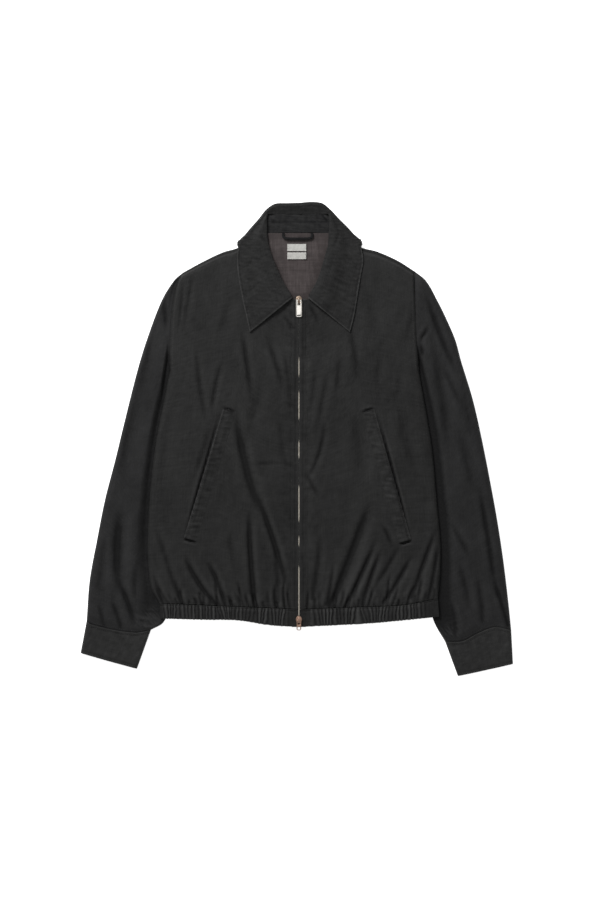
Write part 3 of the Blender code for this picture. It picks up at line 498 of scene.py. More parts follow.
class Curve:
    """A smooth plan line through a few points, read by shares of its length."""

    STEPS = 16

    def __init__(self, points):
        self.fine = hermite(np.array(points, float), self.STEPS)
        steps = np.linalg.norm(np.diff(self.fine, axis=0), axis=1)
        self.places = np.concatenate([[0.0], np.cumsum(steps)])
        self.length = self.places[-1]

    def at(self, shares):
        """Plan points at shares of the line's length."""
        wanted = np.clip(shares, 0, 1) * self.length
        return np.stack([np.interp(wanted, self.places, self.fine[:, axis])
                         for axis in (0, 1)], axis=-1)


LINES = {side: {name: Curve(points) for name, points in lines.items()}
         for side, lines in PLAN.items()}


def soft(part):
    """0 to 1 with a soft start and end."""
    part = np.clip(part, 0, 1)
    return part * part * (3 - 2 * part)


def rounded(distance, reach):
    """0 at an edge and 1 from reach on, rising like a quarter circle."""
    part = np.clip(distance / reach, 0, 1)
    return np.sqrt(np.clip(1 - (1 - part) ** 2, 0, 1))


def ridge(distance, width, at=0.0):
    """1 along a line at a distance from an edge, fading within about width to both sides."""
    return np.exp(-((distance - at) / width) ** 2)


def blend(first, second, share):
    """The first value at a share of 0 and the second at 1."""
    return first + (second - first) * share


def table(pairs, places):
    """A value read from a short table of (place, value), straight between its rows."""
    return np.interp(places, [pair[0] for pair in pairs], [pair[1] for pair in pairs])


def ripples(x, y, pitch, seed, stretch=1.0):
    """Uneven low waves of about one pitch, between -1 and 1; stretch lengthens them along Y."""
    chance = random.Random(seed)
    total = np.zeros_like(x)
    waves = 11
    for _ in range(waves):
        angle = chance.uniform(0, math.pi)
        length = pitch * chance.uniform(0.6, 1.8)
        turn = 2 * math.pi / length
        total += np.sin(turn * (x * math.cos(angle) + y / stretch * math.sin(angle))
                        + chance.uniform(0, 2 * math.pi))
    return total / math.sqrt(waves * 2)


def swell_of(piece, x, y, side=""):
    """The low waves of a piece's cloth."""
    return sum(wave.height * ripples(x, y, wave.pitch, wave.name + side, wave.stretch)
               for wave in WAVES[piece])


def crease_relief(x, y, creases):
    """Height and tone that creases give to points: painted shade in the low troughs, and bulges
    beside them painted lighter, partly as wear and partly as painted light.
    """
    height, tone = np.zeros_like(x), np.zeros_like(x)
    for crease in creases:
        start, end = np.array([crease.x0, crease.y0]), np.array([crease.x1, crease.y1])
        run = end - start
        sideways = np.array([-run[1], run[0]]) / np.linalg.norm(run)
        middle = (start + end) / 2 + sideways * crease.bow * 2
        part = np.linspace(0, 1, CREASE_STEPS)[:, None]
        path = start * (1 - part) ** 2 + middle * 2 * part * (1 - part) + end * part ** 2
        reach = crease.width * 4
        low, high = path.min(0) - reach, path.max(0) + reach
        near = np.where((x > low[0]) & (x < high[0]) & (y > low[1]) & (y < high[1]))[0]
        if near.size == 0:
            continue
        spots = np.stack([x[near], y[near]], axis=-1)
        best = np.full(near.size, 1e9)
        place, turn = np.zeros(near.size), np.ones(near.size)
        for index in range(CREASE_STEPS - 1):
            first, second = path[index], path[index + 1]
            step = second - first
            inside = np.clip((spots - first) @ step / (step @ step), 0, 1)
            away = spots - first - inside[:, None] * step
            distance = np.hypot(away[:, 0], away[:, 1])
            closer = distance < best
            best = np.where(closer, distance, best)
            place = np.where(closer, (index + inside) / (CREASE_STEPS - 1), place)
            cross = step[0] * away[:, 1] - step[1] * away[:, 0]
            turn = np.where(closer, np.sign(cross), turn)
        taper = soft(place / 0.4)
        if not crease.held:
            taper = taper * soft((1 - place) / 0.4)
        beside = best / crease.width
        trough = np.exp(-(beside * 1.65) ** 2)
        bulge = ridge(beside, 0.85, 1.75) * (1 + 0.4 * turn * np.tanh(beside))
        height[near] += crease.depth * taper * (0.28 * bulge - trough)
        # the tone paints shade into the trough and lightens the bulges, as wear and as painted
        # light
        tone[near] += min(crease.depth, 3.0) / 3.0 * taper * (0.26 * bulge - 1.05 * trough)
    return height, tone


def body_plan(side, u, v):
    """Plan points of half the body, between its side, middle, hem and shoulder lines."""
    lines = LINES[side]
    on_neck = (u > NECK_U)[:, None]
    top = np.where(on_neck, lines["neck"].at((u - NECK_U) / (1 - NECK_U)),
                   lines["shoulder"].at(u / NECK_U))
    edge = np.where((v > PIT_V)[:, None], lines["armhole"].at((v - PIT_V) / (1 - PIT_V)),
                    lines["side"].at(v / PIT_V))
    hem = lines["hem"].at(u)
    hem_side, hem_zip = lines["hem"].at(0.0), lines["hem"].at(1.0)
    top_side, top_zip = lines["shoulder"].at(0.0), lines["neck"].at(1.0)
    middle = np.stack([np.full_like(v, ZIP_X), blend(hem_zip[1], top_zip[1], v)], -1)
    u, v = u[:, None], v[:, None]
    corners = blend(blend(hem_side, hem_zip, u), blend(top_side, top_zip, u), v)
    return blend(edge, middle, u) + blend(hem, top, v) - corners


def side_edge(side, v):
    """Plan points of the body's side and armhole."""
    return body_plan(side, np.zeros_like(v), v)


def hem_gathers(side):
    """Small creases that rise from the waistband's seam, unevenly spaced and leaning out."""
    chance = random.Random("gathers " + side)
    found = []
    for index in range(GATHER_COUNT):
        share = (index + chance.uniform(0.1, 0.9)) / GATHER_COUNT * 0.93 + 0.02
        foot = LINES[side]["hem"].at(share)
        length = chance.uniform(*GATHER_LENGTH) * chance.uniform(0.45, 1.0)
        lean = chance.uniform(*GATHER_LEAN) * (1.15 - share)
        head = foot + length * np.array([SIGN[side] * lean, 1.0])
        found.append(Crease(head[0], head[1], foot[0], foot[1], chance.uniform(-3, 3),
                            chance.uniform(*GATHER_WIDTH), chance.uniform(*GATHER_DEPTH), 1))
    return found


def openness(y):
    """1 where the fronts part over the teeth and 0 where their edges meet over them."""
    total = np.zeros_like(y)
    for low, high in OPEN_STRETCHES:
        total = np.maximum(total, soft((y - low) / 9 + 0.5) * soft((high - y) / 9 + 0.5))
    return total


def front_edge(side, y):
    """X of a front's folded edge along the zip."""
    drift = 0.35 * ripples(np.zeros_like(y), y, 40, "edge " + side)
    return ZIP_X + SIGN[side] * (0.03 + 1.0 * openness(y) + np.abs(drift) * 0.12)


# Making pieces.


def mesh_from(mesh_data, name):
    """A new mesh from a finished bmesh, which is freed."""
    mesh = bpy.data.meshes.new(name)
    mesh_data.to_mesh(mesh)
    mesh_data.free()
    return mesh


def grid_of(name, across, along):
    """A flat grid and the shares (u, v) of its points."""
    mesh_data = bmesh.new()
    bmesh.ops.create_grid(mesh_data, x_segments=across, y_segments=along, size=1)
    mesh = mesh_from(mesh_data, name)
    spots = np.empty(len(mesh.vertices) * 3)
    mesh.vertices.foreach_get("co", spots)
    u, v = np.clip((spots.reshape(-1, 3)[:, :2].T + 1) / 2, 0, 1)
    return mesh, u, v


def add_piece(name, mesh, body, material, replaced=()):
    """Links a finished mesh, on a body and the nodes that it stands for."""
    piece = bpy.data.objects.new(name, mesh)
    bpy.context.scene.collection.objects.link(piece)
    mesh.materials.clear()
    mesh.materials.append(material)
    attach(piece, body)
    if replaced:
        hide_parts(*replaced)
    return piece


def write_attribute(mesh, name, values):
    """Gives a mesh one number at each of its points."""
    attribute = mesh.attributes.new(name, "FLOAT", "POINT")
    attribute.data.foreach_set("value", np.asarray(values, np.float32))


def write_uv(mesh, u, v, flat):
    """A UV map in metres of the flat cloth, so that a weave keeps its size."""
    layer = mesh.uv_layers.new(name="UVMap")
    corners = np.empty(len(mesh.loops), int)
    mesh.loops.foreach_get("vertex_index", corners)
    spots = np.stack([u[corners] * flat[0], v[corners] * flat[1]], axis=-1)
    layer.data.foreach_set("uv", spots.astype(np.float32).ravel())


def add_cloth(name, kind, place, wall, finish, nodes,
              cells=None, uv_size=None, turned=False, ring=False, middle=False):
    """Lays a piece of cloth: place(u, v) gives its points in millimetres and their wear with
    painted light and shade.

    The points are on the cloth's upper side, or in the middle of its wall.
    """
    width, length, area = FLAT[kind]
    mesh, u, v = grid_of(name, *(cells or CELLS[kind]))
    points, wear = place(u, v)
    mesh.vertices.foreach_set("co", (points * MM).astype(np.float32).ravel())
    # one number at each point: real wear, together with painted shade in creases and hollows and
    # painted highlights on raised cloth
    write_attribute(mesh, "wear", wear)
    write_uv(mesh, u, v, uv_size or (width, length))
    if ring:
        mesh_data = bmesh.new()
        mesh_data.from_mesh(mesh)
        bmesh.ops.remove_doubles(mesh_data, verts=mesh_data.verts, dist=2e-6)
        mesh_data.to_mesh(mesh)
        mesh_data.free()
    if turned:
        mesh.flip_normals()
    mesh.shade_smooth()
    mesh.update()
    piece = add_piece(name, mesh, "garment", finish_of(finish), nodes)
    thickness = getattr(settings("cloth"), wall + "_wall")
    shell = piece.modifiers.new("wall", "SOLIDIFY")
    shell.thickness = thickness
    shell.offset = 0.0 if middle else -1.0
    shell.use_even_offset = False
    rim = piece.modifiers.new("rim", "BEVEL")
    rim.width = min(thickness * 0.3, 0.00045)
    rim.segments = 2
    rim.limit_method = "ANGLE"
    rim.angle_limit = math.radians(55)
    return piece


def surface_of(piece):
    """A tree over a piece's own points, to lay stitches on it from above."""
    mesh = piece.data
    return BVHTree.FromPolygons([vertex.co for vertex in mesh.vertices],
                                [polygon.vertices for polygon in mesh.polygons])


def laid_on(tree, x, y, fall=0.1):
    """The point of a surface below (x, y) in millimetres, and its upward normal."""
    spot, normal, _, _ = tree.ray_cast(Vector((x * MM, y * MM, fall)), Vector((0, 0, -1)))
    if spot is None:
        return None
    return spot, normal if normal.z > 0 else -normal


def repeated(name, template, places):
    """One mesh of a small closed template set at each of many 4 x 4 places."""
    mesh_data = bmesh.new()
    for place in places:
        copy = template.copy()
        copy.transform(place)
        mesh_data.from_mesh(copy)
        bpy.data.meshes.remove(copy)
    mesh = mesh_from(mesh_data, name)
    mesh.shade_smooth()
    return mesh


def along_path(points, pitch, inset=0.0):
    """Even steps along straight pieces of a plan path: (x, y, direction) of each."""
    spots = np.array(points, float)
    runs = np.linalg.norm(np.diff(spots, axis=0), axis=1)
    places = np.concatenate([[0.0], np.cumsum(runs)])
    count = max(int((places[-1] - 2 * inset) / pitch), 1)
    steps = inset + (np.arange(count) + 0.5) * (places[-1] - 2 * inset) / count
    found = []
    for step in steps:
        x, y = (np.interp(step, places, spots[:, axis]) for axis in (0, 1))
        index = min(np.searchsorted(places, step, side="right") - 1, len(runs) - 1)
        direction = (spots[index + 1] - spots[index]) / runs[index]
        found.append((x, y, direction))
    return found


# Materials.


def settings(name):
    """One group of the panel's values."""
    return getattr(bpy.context.scene, "jacket_" + name)


class Nodes:
    """A material's node tree with short ways to add and join nodes."""

    def __init__(self, name):
        self.material = bpy.data.materials.new(name)
        self.material.use_nodes = True
        self.tree = self.material.node_tree
        self.shader = self.tree.nodes["Principled BSDF"]

    def add(self, kind, settings=None, **sockets):
        node = self.tree.nodes.new("ShaderNode" + kind)
        for name, value in (settings or {}).items():
            setattr(node, name, value)
        for name, value in sockets.items():
            self.set(node, name, value)
        return node

    def set(self, node, name, value):
        """Joins an output to a socket, or sets the socket; A0 and A1 name sockets by number."""
        index = int(name[1:]) if name[0] == "A" and name[1:].isdigit() else None
        socket = node.inputs[name.replace("_", " ") if index is None else index]
        if isinstance(value, bpy.types.NodeSocket):
            self.tree.links.new(value, socket)
        else:
            socket.default_value = value

    def math(self, operation, first, second=0.0, third=0.0, clamp=False):
        node = self.add("Math", {"operation": operation, "use_clamp": clamp},
                        A0=first, A1=second, A2=third)
        return node.outputs[0]

    def mixed(self, share, first, second):
        """A colour between two, by a share."""
        node = self.add("Mix", {"data_type": "RGBA"}, A0=share)
        self.set(node, "A6", first)
        self.set(node, "A7", second)
        return node.outputs[2]

    def noise(self, vector, scale, detail=4.0, roughness=0.55, squeeze=(1, 1, 1), turn=0.0):
        mapped = self.add("Mapping", None, Vector=vector, Scale=squeeze,
                          Rotation=(0, 0, turn)).outputs[0]
        return self.add("TexNoise", None, Vector=mapped, Scale=scale, Detail=detail,
                        Roughness=roughness).outputs[0]

    def wave(self, vector, pitch, turn=0.0, distortion=0.0):
        """Fine threads as bands one pitch apart, turned in the plane of the cloth."""
        mapped = self.add("Mapping", None, Vector=vector, Rotation=(0, 0, turn)).outputs[0]
        return self.add("TexWave", {"bands_direction": "X"}, Vector=mapped,
                        Scale=2 * math.pi / (20 * pitch), Distortion=distortion,
                        Detail=1.0).outputs[1]


def cloth_finish(name, colour, worn, roughness, sheen, pitch=0.0007, slub=0.5):
    """Woven cotton: threads both ways, faded patches, slubs along the warp, worn ridges, and the
    painted light and shade that the wear attribute carries.
    """
    nodes = Nodes(name)
    flat = nodes.add("TexCoord").outputs["UV"]
    place = nodes.add("TexCoord").outputs["Object"]
    wear = nodes.add("Attribute", {"attribute_name": "wear"}).outputs["Fac"]
    warp = nodes.wave(flat, pitch, 0.0, 0.6)
    weft = nodes.wave(flat, pitch * 1.15, math.pi / 2, 0.6)
    twill = nodes.wave(flat, pitch * 2.2, math.radians(58), 0.4)
    weave = nodes.math("MULTIPLY", nodes.math("ADD", warp, weft), 0.5)
    weave = nodes.math("ADD", nodes.math("MULTIPLY", weave, 0.6),
                       nodes.math("MULTIPLY", twill, 0.4))
    patches = nodes.noise(place, 11, 3, 0.6)
    mottle = nodes.noise(place, 85, 5, 0.62)
    slubs = nodes.noise(flat, 300, 3, 0.6, squeeze=(3.0, 0.10, 1))
    streaks = nodes.noise(flat, 120, 3, 0.5, squeeze=(0.12, 2.4, 1))
    crumple = nodes.noise(place, 240, 5, 0.6)

    def centred(value, amount):
        return nodes.math("MULTIPLY", nodes.math("SUBTRACT", value, 0.5), amount)

    # the wear attribute moves the colour to the worn tone for wear and painted highlights, and
    # to the dark tone for painted shade
    fade = nodes.math("MULTIPLY", wear, 0.62)
    for value, amount in ((patches, 0.45), (mottle, 0.45), (slubs, slub),
                          (streaks, slub * 0.6), (weave, 0.16)):
        fade = nodes.math("ADD", fade, centred(value, amount))
    grain = nodes.math("MULTIPLY", nodes.noise(place, 900, 3, 0.7), wear)
    fade = nodes.math("ADD", fade, nodes.math("MULTIPLY", grain, 0.5))
    share = nodes.math("ADD", fade, 0.34, clamp=True)
    nodes.set(nodes.shader, "Base Color", nodes.mixed(share, colour, worn))
    rough = nodes.math("ADD", roughness, centred(mottle, 0.22))
    nodes.set(nodes.shader, "Roughness", rough)
    nodes.set(nodes.shader, "Specular IOR Level", 0.16)
    nodes.set(nodes.shader, "Sheen Weight", sheen)
    nodes.set(nodes.shader, "Sheen Roughness", 0.45)
    relief = nodes.math("ADD", nodes.math("MULTIPLY", weave, 0.09),
                        nodes.math("MULTIPLY", crumple, 0.85))
    relief = nodes.math("ADD", relief, nodes.math("MULTIPLY", mottle, 1.1))
    relief = nodes.math("ADD", relief, nodes.math("MULTIPLY", slubs, 0.16))
    bump = nodes.add("Bump", None, Height=relief, Strength=0.55, Distance=0.0011)
    nodes.set(nodes.shader, "Normal", bump.outputs[0])
    return nodes.material


def metal_finish(name, colour, dull, roughness):
    """Plated zinc: fine brushed lines, small pits and a duller tone where hands wear it."""
    nodes = Nodes(name)
    place = nodes.add("TexCoord").outputs["Object"]
    brushed = nodes.noise(place, 2600, 3, 0.6, squeeze=(1, 0.08, 1))
    patches = nodes.noise(place, 420, 4, 0.6)
    nodes.set(nodes.shader, "Base Color", nodes.mixed(patches, colour, dull))
    rough = nodes.math("ADD", roughness, nodes.math("MULTIPLY", patches, 0.22))
    nodes.set(nodes.shader, "Roughness", rough)
    nodes.set(nodes.shader, "Metallic", 1.0)
    bump = nodes.add("Bump", None, Height=brushed, Strength=0.12, Distance=0.0001)
    nodes.set(nodes.shader, "Normal", bump.outputs[0])
    return nodes.material


def ribbon_finish(name, colour, pale, pitch, roughness):
    """Woven tape or label: close ribs across it and a faint uneven dye."""
    nodes = Nodes(name)
    flat = nodes.add("TexCoord").outputs["Object"]
    ribs = nodes.wave(flat, pitch, math.pi / 2, 0.3)
    cross = nodes.wave(flat, pitch * 0.8, 0.0, 0.3)
    cloth = nodes.math("ADD", nodes.math("MULTIPLY", ribs, 0.6),
                       nodes.math("MULTIPLY", cross, 0.4))
    stain = nodes.noise(flat, 140, 4, 0.6)
    share = nodes.math("MULTIPLY", nodes.math("ADD", cloth, stain), 0.5)
    nodes.set(nodes.shader, "Base Color", nodes.mixed(share, colour, pale))
    nodes.set(nodes.shader, "Roughness", roughness)
    bump = nodes.add("Bump", None, Height=cloth, Strength=0.35, Distance=0.0002)
    nodes.set(nodes.shader, "Normal", bump.outputs[0])
    return nodes.material


def plain_finish(name, colour, roughness, grain):
    """A matt thread or an even surface with a faint grain."""
    nodes = Nodes(name)
    place = nodes.add("TexCoord").outputs["Object"]
    tone = nodes.noise(place, grain, 4, 0.6)
    darker = tuple(value * 0.8 for value in colour[:3]) + (1.0,)
    nodes.set(nodes.shader, "Base Color", nodes.mixed(tone, darker, colour))
    nodes.set(nodes.shader, "Roughness", roughness)
    return nodes.material


COTTON = {"roughness": 0.66, "sheen": 0.02}
# Each finish: the function that makes it, the colours that it takes and its other values.
FINISHES = {
    "shell": (cloth_finish, ("shell", "shell_worn"), COTTON),
    "sleeve": (cloth_finish, ("sleeve", "sleeve_worn"), COTTON),
    "stand": (cloth_finish, ("stand", "shell_worn"), {"roughness": 0.7, "sheen": 0.02}),
    "lining": (cloth_finish, ("lining", "lining_worn"),
               {"roughness": 0.75, "sheen": 0.05, "pitch": 0.0006, "slub": 1.3}),
    "label": (ribbon_finish, ("label", "label_worn"), {"pitch": 0.00055, "roughness": 0.7}),
    "tape": (ribbon_finish, ("tape", "shell_worn"), {"pitch": 0.0008, "roughness": 0.75}),
    "nickel": (metal_finish, ("nickel", "nickel_dull"), {"roughness": 0.1}),
    "teeth": (metal_finish, ("teeth", "brass"), {"roughness": 0.25}),
    "brass": (metal_finish, ("brass", "copper_dull"), {"roughness": 0.3}),
    "copper": (metal_finish, ("copper", "copper_dull"), {"roughness": 0.22}),
    "thread": (plain_finish, ("thread",), {"roughness": 0.8, "grain": 1500}),
}


def finish_of(kind):
    """The material of that kind, made once from the colours in the panel."""
    name = "Jacket " + kind
    made = bpy.data.materials.get(name)
    if made:
        return made
    colours = settings("colours")
    make, tones, values = FINISHES[kind]
    return make(name, *(getattr(colours, tone)[:] for tone in tones), **values)


# What the panel can change.


class JacketCloth(bpy.types.PropertyGroup):
    """Walls and grids of the cloth."""

    panel_wall: FloatProperty(name="Panel wall", description="Thickness of the fronts and back",
                              default=0.0012, min=0.0005, unit="LENGTH")
    sleeve_wall: FloatProperty(name="Sleeve wall", description="Thickness of the sleeves",
                               default=0.0011, min=0.0005, unit="LENGTH")
    cuff_wall: FloatProperty(name="Cuff wall", description="Thickness of the doubled cuffs",
                             default=0.0018, min=0.0005, unit="LENGTH")
    leaf_wall: FloatProperty(name="Leaf wall", description="Thickness of the collar leaf",
                               default=0.0017, min=0.0005, unit="LENGTH")
    band_wall: FloatProperty(name="Band wall", description="Thickness of the waistband",
                             default=0.0015, min=0.0005, unit="LENGTH")
    lining_wall: FloatProperty(name="Lining wall", description="Thickness of the lining",
                               default=0.0008, min=0.0003, unit="LENGTH")
    stand_wall: FloatProperty(name="Stand wall", description="Thickness of the collar stand",
                              default=0.0013, min=0.0005, unit="LENGTH")
    welt_wall: FloatProperty(name="Welt wall", description="Thickness of the pocket welts",
                             default=0.0013, min=0.0005, unit="LENGTH")
    loop_wall: FloatProperty(name="Loop wall", description="Thickness of the hanging loop",
                             default=0.0011, min=0.0005, unit="LENGTH")
    label_wall: FloatProperty(name="Label wall", description="Thickness of the folded labels",
                              default=0.0007, min=0.0003, unit="LENGTH")
    cell: FloatProperty(name="Cell", description="Width of a cell of the cloth's fine grid",
                        default=0.0023, min=0.0015, unit="LENGTH")


class JacketTrim(bpy.types.PropertyGroup):
    """Sizes of the stitches and of the zip's teeth."""

    stitch_pitch: FloatProperty(name="Stitch pitch", description="From one stitch to the next",
                                default=0.0033, min=0.001, unit="LENGTH")
    stitch_length: FloatProperty(name="Stitch length", description="Length that shows",
                                 default=0.0025, min=0.0005, unit="LENGTH")
    stitch_width: FloatProperty(name="Thread width", description="Thickness of the thread",
                                default=0.00055, min=0.0001, unit="LENGTH")
    tooth_pitch: FloatProperty(name="Tooth pitch", description="Between teeth of one side",
                               default=0.0022, min=0.001, unit="LENGTH")
    tooth_length: FloatProperty(name="Tooth length", description="Reach of a tooth across",
                                default=0.0031, min=0.001, unit="LENGTH")
    tooth_depth: FloatProperty(name="Tooth depth", description="Height of a tooth",
                               default=0.0018, min=0.0005, unit="LENGTH")
    metal_edge: FloatProperty(name="Metal edge", description="Rounding of the zip's metal",
                              default=0.0003, min=0.0001, unit="LENGTH")


def colour_of(name, value):
    """A colour that the panel shows."""
    return FloatVectorProperty(name=name, description="Colour of: " + name.lower(),
                               subtype="COLOR", size=4, min=0.0, max=1.0, default=value)


class JacketColours(bpy.types.PropertyGroup):
    """Colours of the cloth, thread and metal, each with its worn or dull tone."""

    shell: colour_of("Shell", (0.0042, 0.0042, 0.0042, 1))
    shell_worn: colour_of("Worn shell", (0.036, 0.036, 0.0355, 1))
    sleeve: colour_of("Sleeves", (0.0036, 0.0036, 0.0038, 1))
    sleeve_worn: colour_of("Worn sleeves", (0.030, 0.030, 0.0305, 1))
    stand: colour_of("Collar stand", (0.0040, 0.0040, 0.0047, 1))
    lining: colour_of("Lining", (0.040, 0.033, 0.0325, 1))
    lining_worn: colour_of("Faded lining", (0.088, 0.073, 0.073, 1))
    label: colour_of("Labels", (0.40, 0.395, 0.37, 1))
    label_worn: colour_of("Faded labels", (0.52, 0.515, 0.49, 1))
    tape: colour_of("Tape", (0.008, 0.008, 0.008, 1))
    thread: colour_of("Thread", (0.030, 0.030, 0.029, 1))
    teeth: colour_of("Teeth", (0.66, 0.65, 0.61, 1))
    nickel: colour_of("Nickel", (0.90, 0.88, 0.84, 1))
    nickel_dull: colour_of("Dull nickel", (0.74, 0.70, 0.63, 1))
    brass: colour_of("Slider brass", (0.42, 0.35, 0.27, 1))
    copper: colour_of("Copper", (0.50, 0.32, 0.24, 1))
    copper_dull: colour_of("Dull copper", (0.26, 0.17, 0.13, 1))


class JacketStudio(bpy.types.PropertyGroup):
    """Light and camera."""

    key: FloatProperty(name="Key light", description="Power of the soft light from the collar",
                       default=100.0, min=0.0, unit="POWER")
    overhead: FloatProperty(name="Overhead light", min=0.0, default=12.0, unit="POWER",
                            description="Power of the wide light that the metal reflects")
    world: FloatProperty(name="Room light", description="Strength of the even light around",
                         default=0.37, min=0.0)
    camera_height: FloatProperty(name="Camera height", description="Height above the surface",
                                 default=4.125, min=1.0, unit="LENGTH")


# Where each piece of cloth lies.


def lofted(sections, steps_along, steps_across):
    """A fine grid of points over sections of points, smooth both ways."""
    grid = hermite(np.array(sections, float), steps_along, keep_turns=True)
    return hermite(grid.transpose(1, 0, 2), steps_across).transpose(1, 0, 2)


def picked(grid, u, v):
    """Values of a fine grid at the shares of a plain grid with the same cells."""
    rows = np.rint(v * (grid.shape[0] - 1)).astype(int)
    columns = np.rint(u * (grid.shape[1] - 1)).astype(int)
    return grid[rows, columns]


def pocket_creases(side):
    """The shadow line beside a welt's mouth and the pulls across its two ends."""
    welt = WELTS[side]
    out = SIGN[side] * (welt.width / 2 + 1.6)
    found = [Crease(welt.top_x + out, welt.top_y + 8, welt.low_x + out, welt.low_y - 8, 0,
                    2.8, 3.6, 0)]
    half = welt.width / 2 + 2
    reach, slant = SIGN[side] * half, 0.3 * half
    for end_x, end_y, beyond in ((welt.top_x, welt.top_y, 1.4), (welt.low_x, welt.low_y, -1.4)):
        found.append(Crease(end_x - reach, end_y + beyond - slant, end_x + reach,
                            end_y + beyond + slant, 0, 2.2, 3.0, 0))
    return found


def place_front(side):
    """Points of a front, and their wear with painted light and shade."""
    creases = CREASES["front_" + side] + hem_gathers(side) + pocket_creases(side)

    def place(u, v):
        share = v * table(FRONT_TOP, u)
        x, y = body_plan(side, u, share).T
        edge = front_edge(side, y)
        x = x + (edge - ZIP_X) * soft((u - 0.86) / 0.14)
        to_zip = np.abs(x - edge)
        to_side = np.abs(x - side_edge(side, share)[:, 0])
        to_top = np.where(u <= NECK_U + 0.02, body_plan(side, u, np.ones_like(u))[:, 1] - y,
                          99.0)
        to_hem = y - LINES[side]["hem"].at(u)[:, 1]
        # the resting shape
        near_neck = soft((1.35 - np.hypot((x - NECK_SPOT[0]) / NECK_REACH[0],
                                         (y - NECK_SPOT[1]) / NECK_REACH[1])) / 0.4)
        base = blend(BODY_TOP, UNDER_LEAF_TOP, near_neck)
        shape = blend(AT_ZIP_TOP, base, soft((to_zip - 4) / 24))
        side_top = table(SIDE_TOP, share)
        reach = np.where(share < PIT_V + 0.02, 15.0, 7.0)
        shape = blend(side_top, shape, rounded(to_side, reach))
        shape = blend(SHOULDER_TOP, shape, rounded(to_top, 20))
        shape = blend(HEM_TOP, shape, rounded(to_hem, 8))
        # creases and waves where it lies loose, puckers beside the zip
        relief, tone = crease_relief(x, y, creases)
        swell = swell_of("front", x, y, side)
        loose = soft(to_zip / 12) * soft(to_side / 8) * soft(to_top / 12)
        at_hem = 0.55 + 0.45 * soft(to_hem / 12)
        beside_zip = ridge(to_zip, 13, 13) * soft((y + 250) / 60)
        pucker = ripples(x * 0.9, y + 0.5 * x, 15, "zip puckers " + side) * beside_zip
        z = shape + loose * (relief * at_hem + swell * soft(to_hem / 20) + 0.3 * pucker)
        # what sewing pulls down
        armhole = (share > PIT_V) * ridge(to_side, 1.6, 1.5)
        shoulder = ridge(to_top, 1.5, 5)
        tuck = ridge(to_zip, 1.6, 12)
        z -= 0.15 * armhole + 0.7 * shoulder + 0.35 * tuck
        floor_z = np.where((u < 0.2) & (share < 0.75), 5.2, 3.6)
        z = np.maximum(z, np.minimum(floor_z, shape))
        # crease and pucker tone is painted shade in their hollows, with lighter raised cloth
        # that is partly wear and partly painted light; the other terms are worn edges and dark
        # seams
        wear = (loose * tone * 0.85 + 0.14 * ridge(to_zip, 1.6)
                - 0.16 * armhole - 0.4 * shoulder - 0.15 * tuck
                - 0.25 * ridge(to_zip, 1.6, 6) + 0.08 * pucker
                + 0.4 * ridge(to_top, 2.0, 8)
                + 0.12 * (share > PIT_V) * ridge(to_side, 1.6, 4.5)
                + 0.25 * ridge(to_hem, 1.6, 1.5))
        return np.stack([x, y, z], -1), wear

    return place


def halves_of(u):
    """Over the whole back: whether on its right half, and the share from that half's side."""
    right = u < 0.5
    return right, np.where(right, 2 * u, 2 * (1 - u))


def place_back(u, v):
    """Points of the whole back, right to left, and the painted shade of its creases."""
    right, across = halves_of(u)
    x, y = np.where(right, body_plan("right", across, v).T, body_plan("left", across, v).T)
    lift = SIDE_LIFT * soft((0.24 - across) / 0.09) * soft((0.76 - v) / 0.05)
    lift = lift + NECK_LIFT * soft((across - 0.31) / 0.07) * soft((v - 0.90) / 0.05)
    relief, tone = crease_relief(x, y, CREASES["back"])
    inside = soft(across / 0.08) * soft((1 - v) / 0.05)
    z = BACK_TOP + lift - np.minimum(relief, 0) * inside
    # the creases' tone paints shade into their troughs
    return np.stack([x, y, z], -1), tone * 0.5


def ring_shares(u):
    """Around a flattened tube: whether on the upper side, and the share across it."""
    upper = u < 0.5
    turn = np.where(upper, 2 * u, 2 - 2 * u)
    return upper, (1 - np.cos(math.pi * turn)) / 2


def sleeve_plan(lines, across, v):
    """Plan points of a sleeve between its outer edge, the body's side and its tucked edge."""
    outer, crease, inner = (lines[name].at(v) for name in ("sleeve_outer", "crease",
                                                           "sleeve_inner"))
    part = across[:, None]
    return np.where(part < TUCK_SHARE, outer + (crease - outer) * part / TUCK_SHARE,
                    crease + (inner - crease) * (part - TUCK_SHARE) / (1 - TUCK_SHARE))


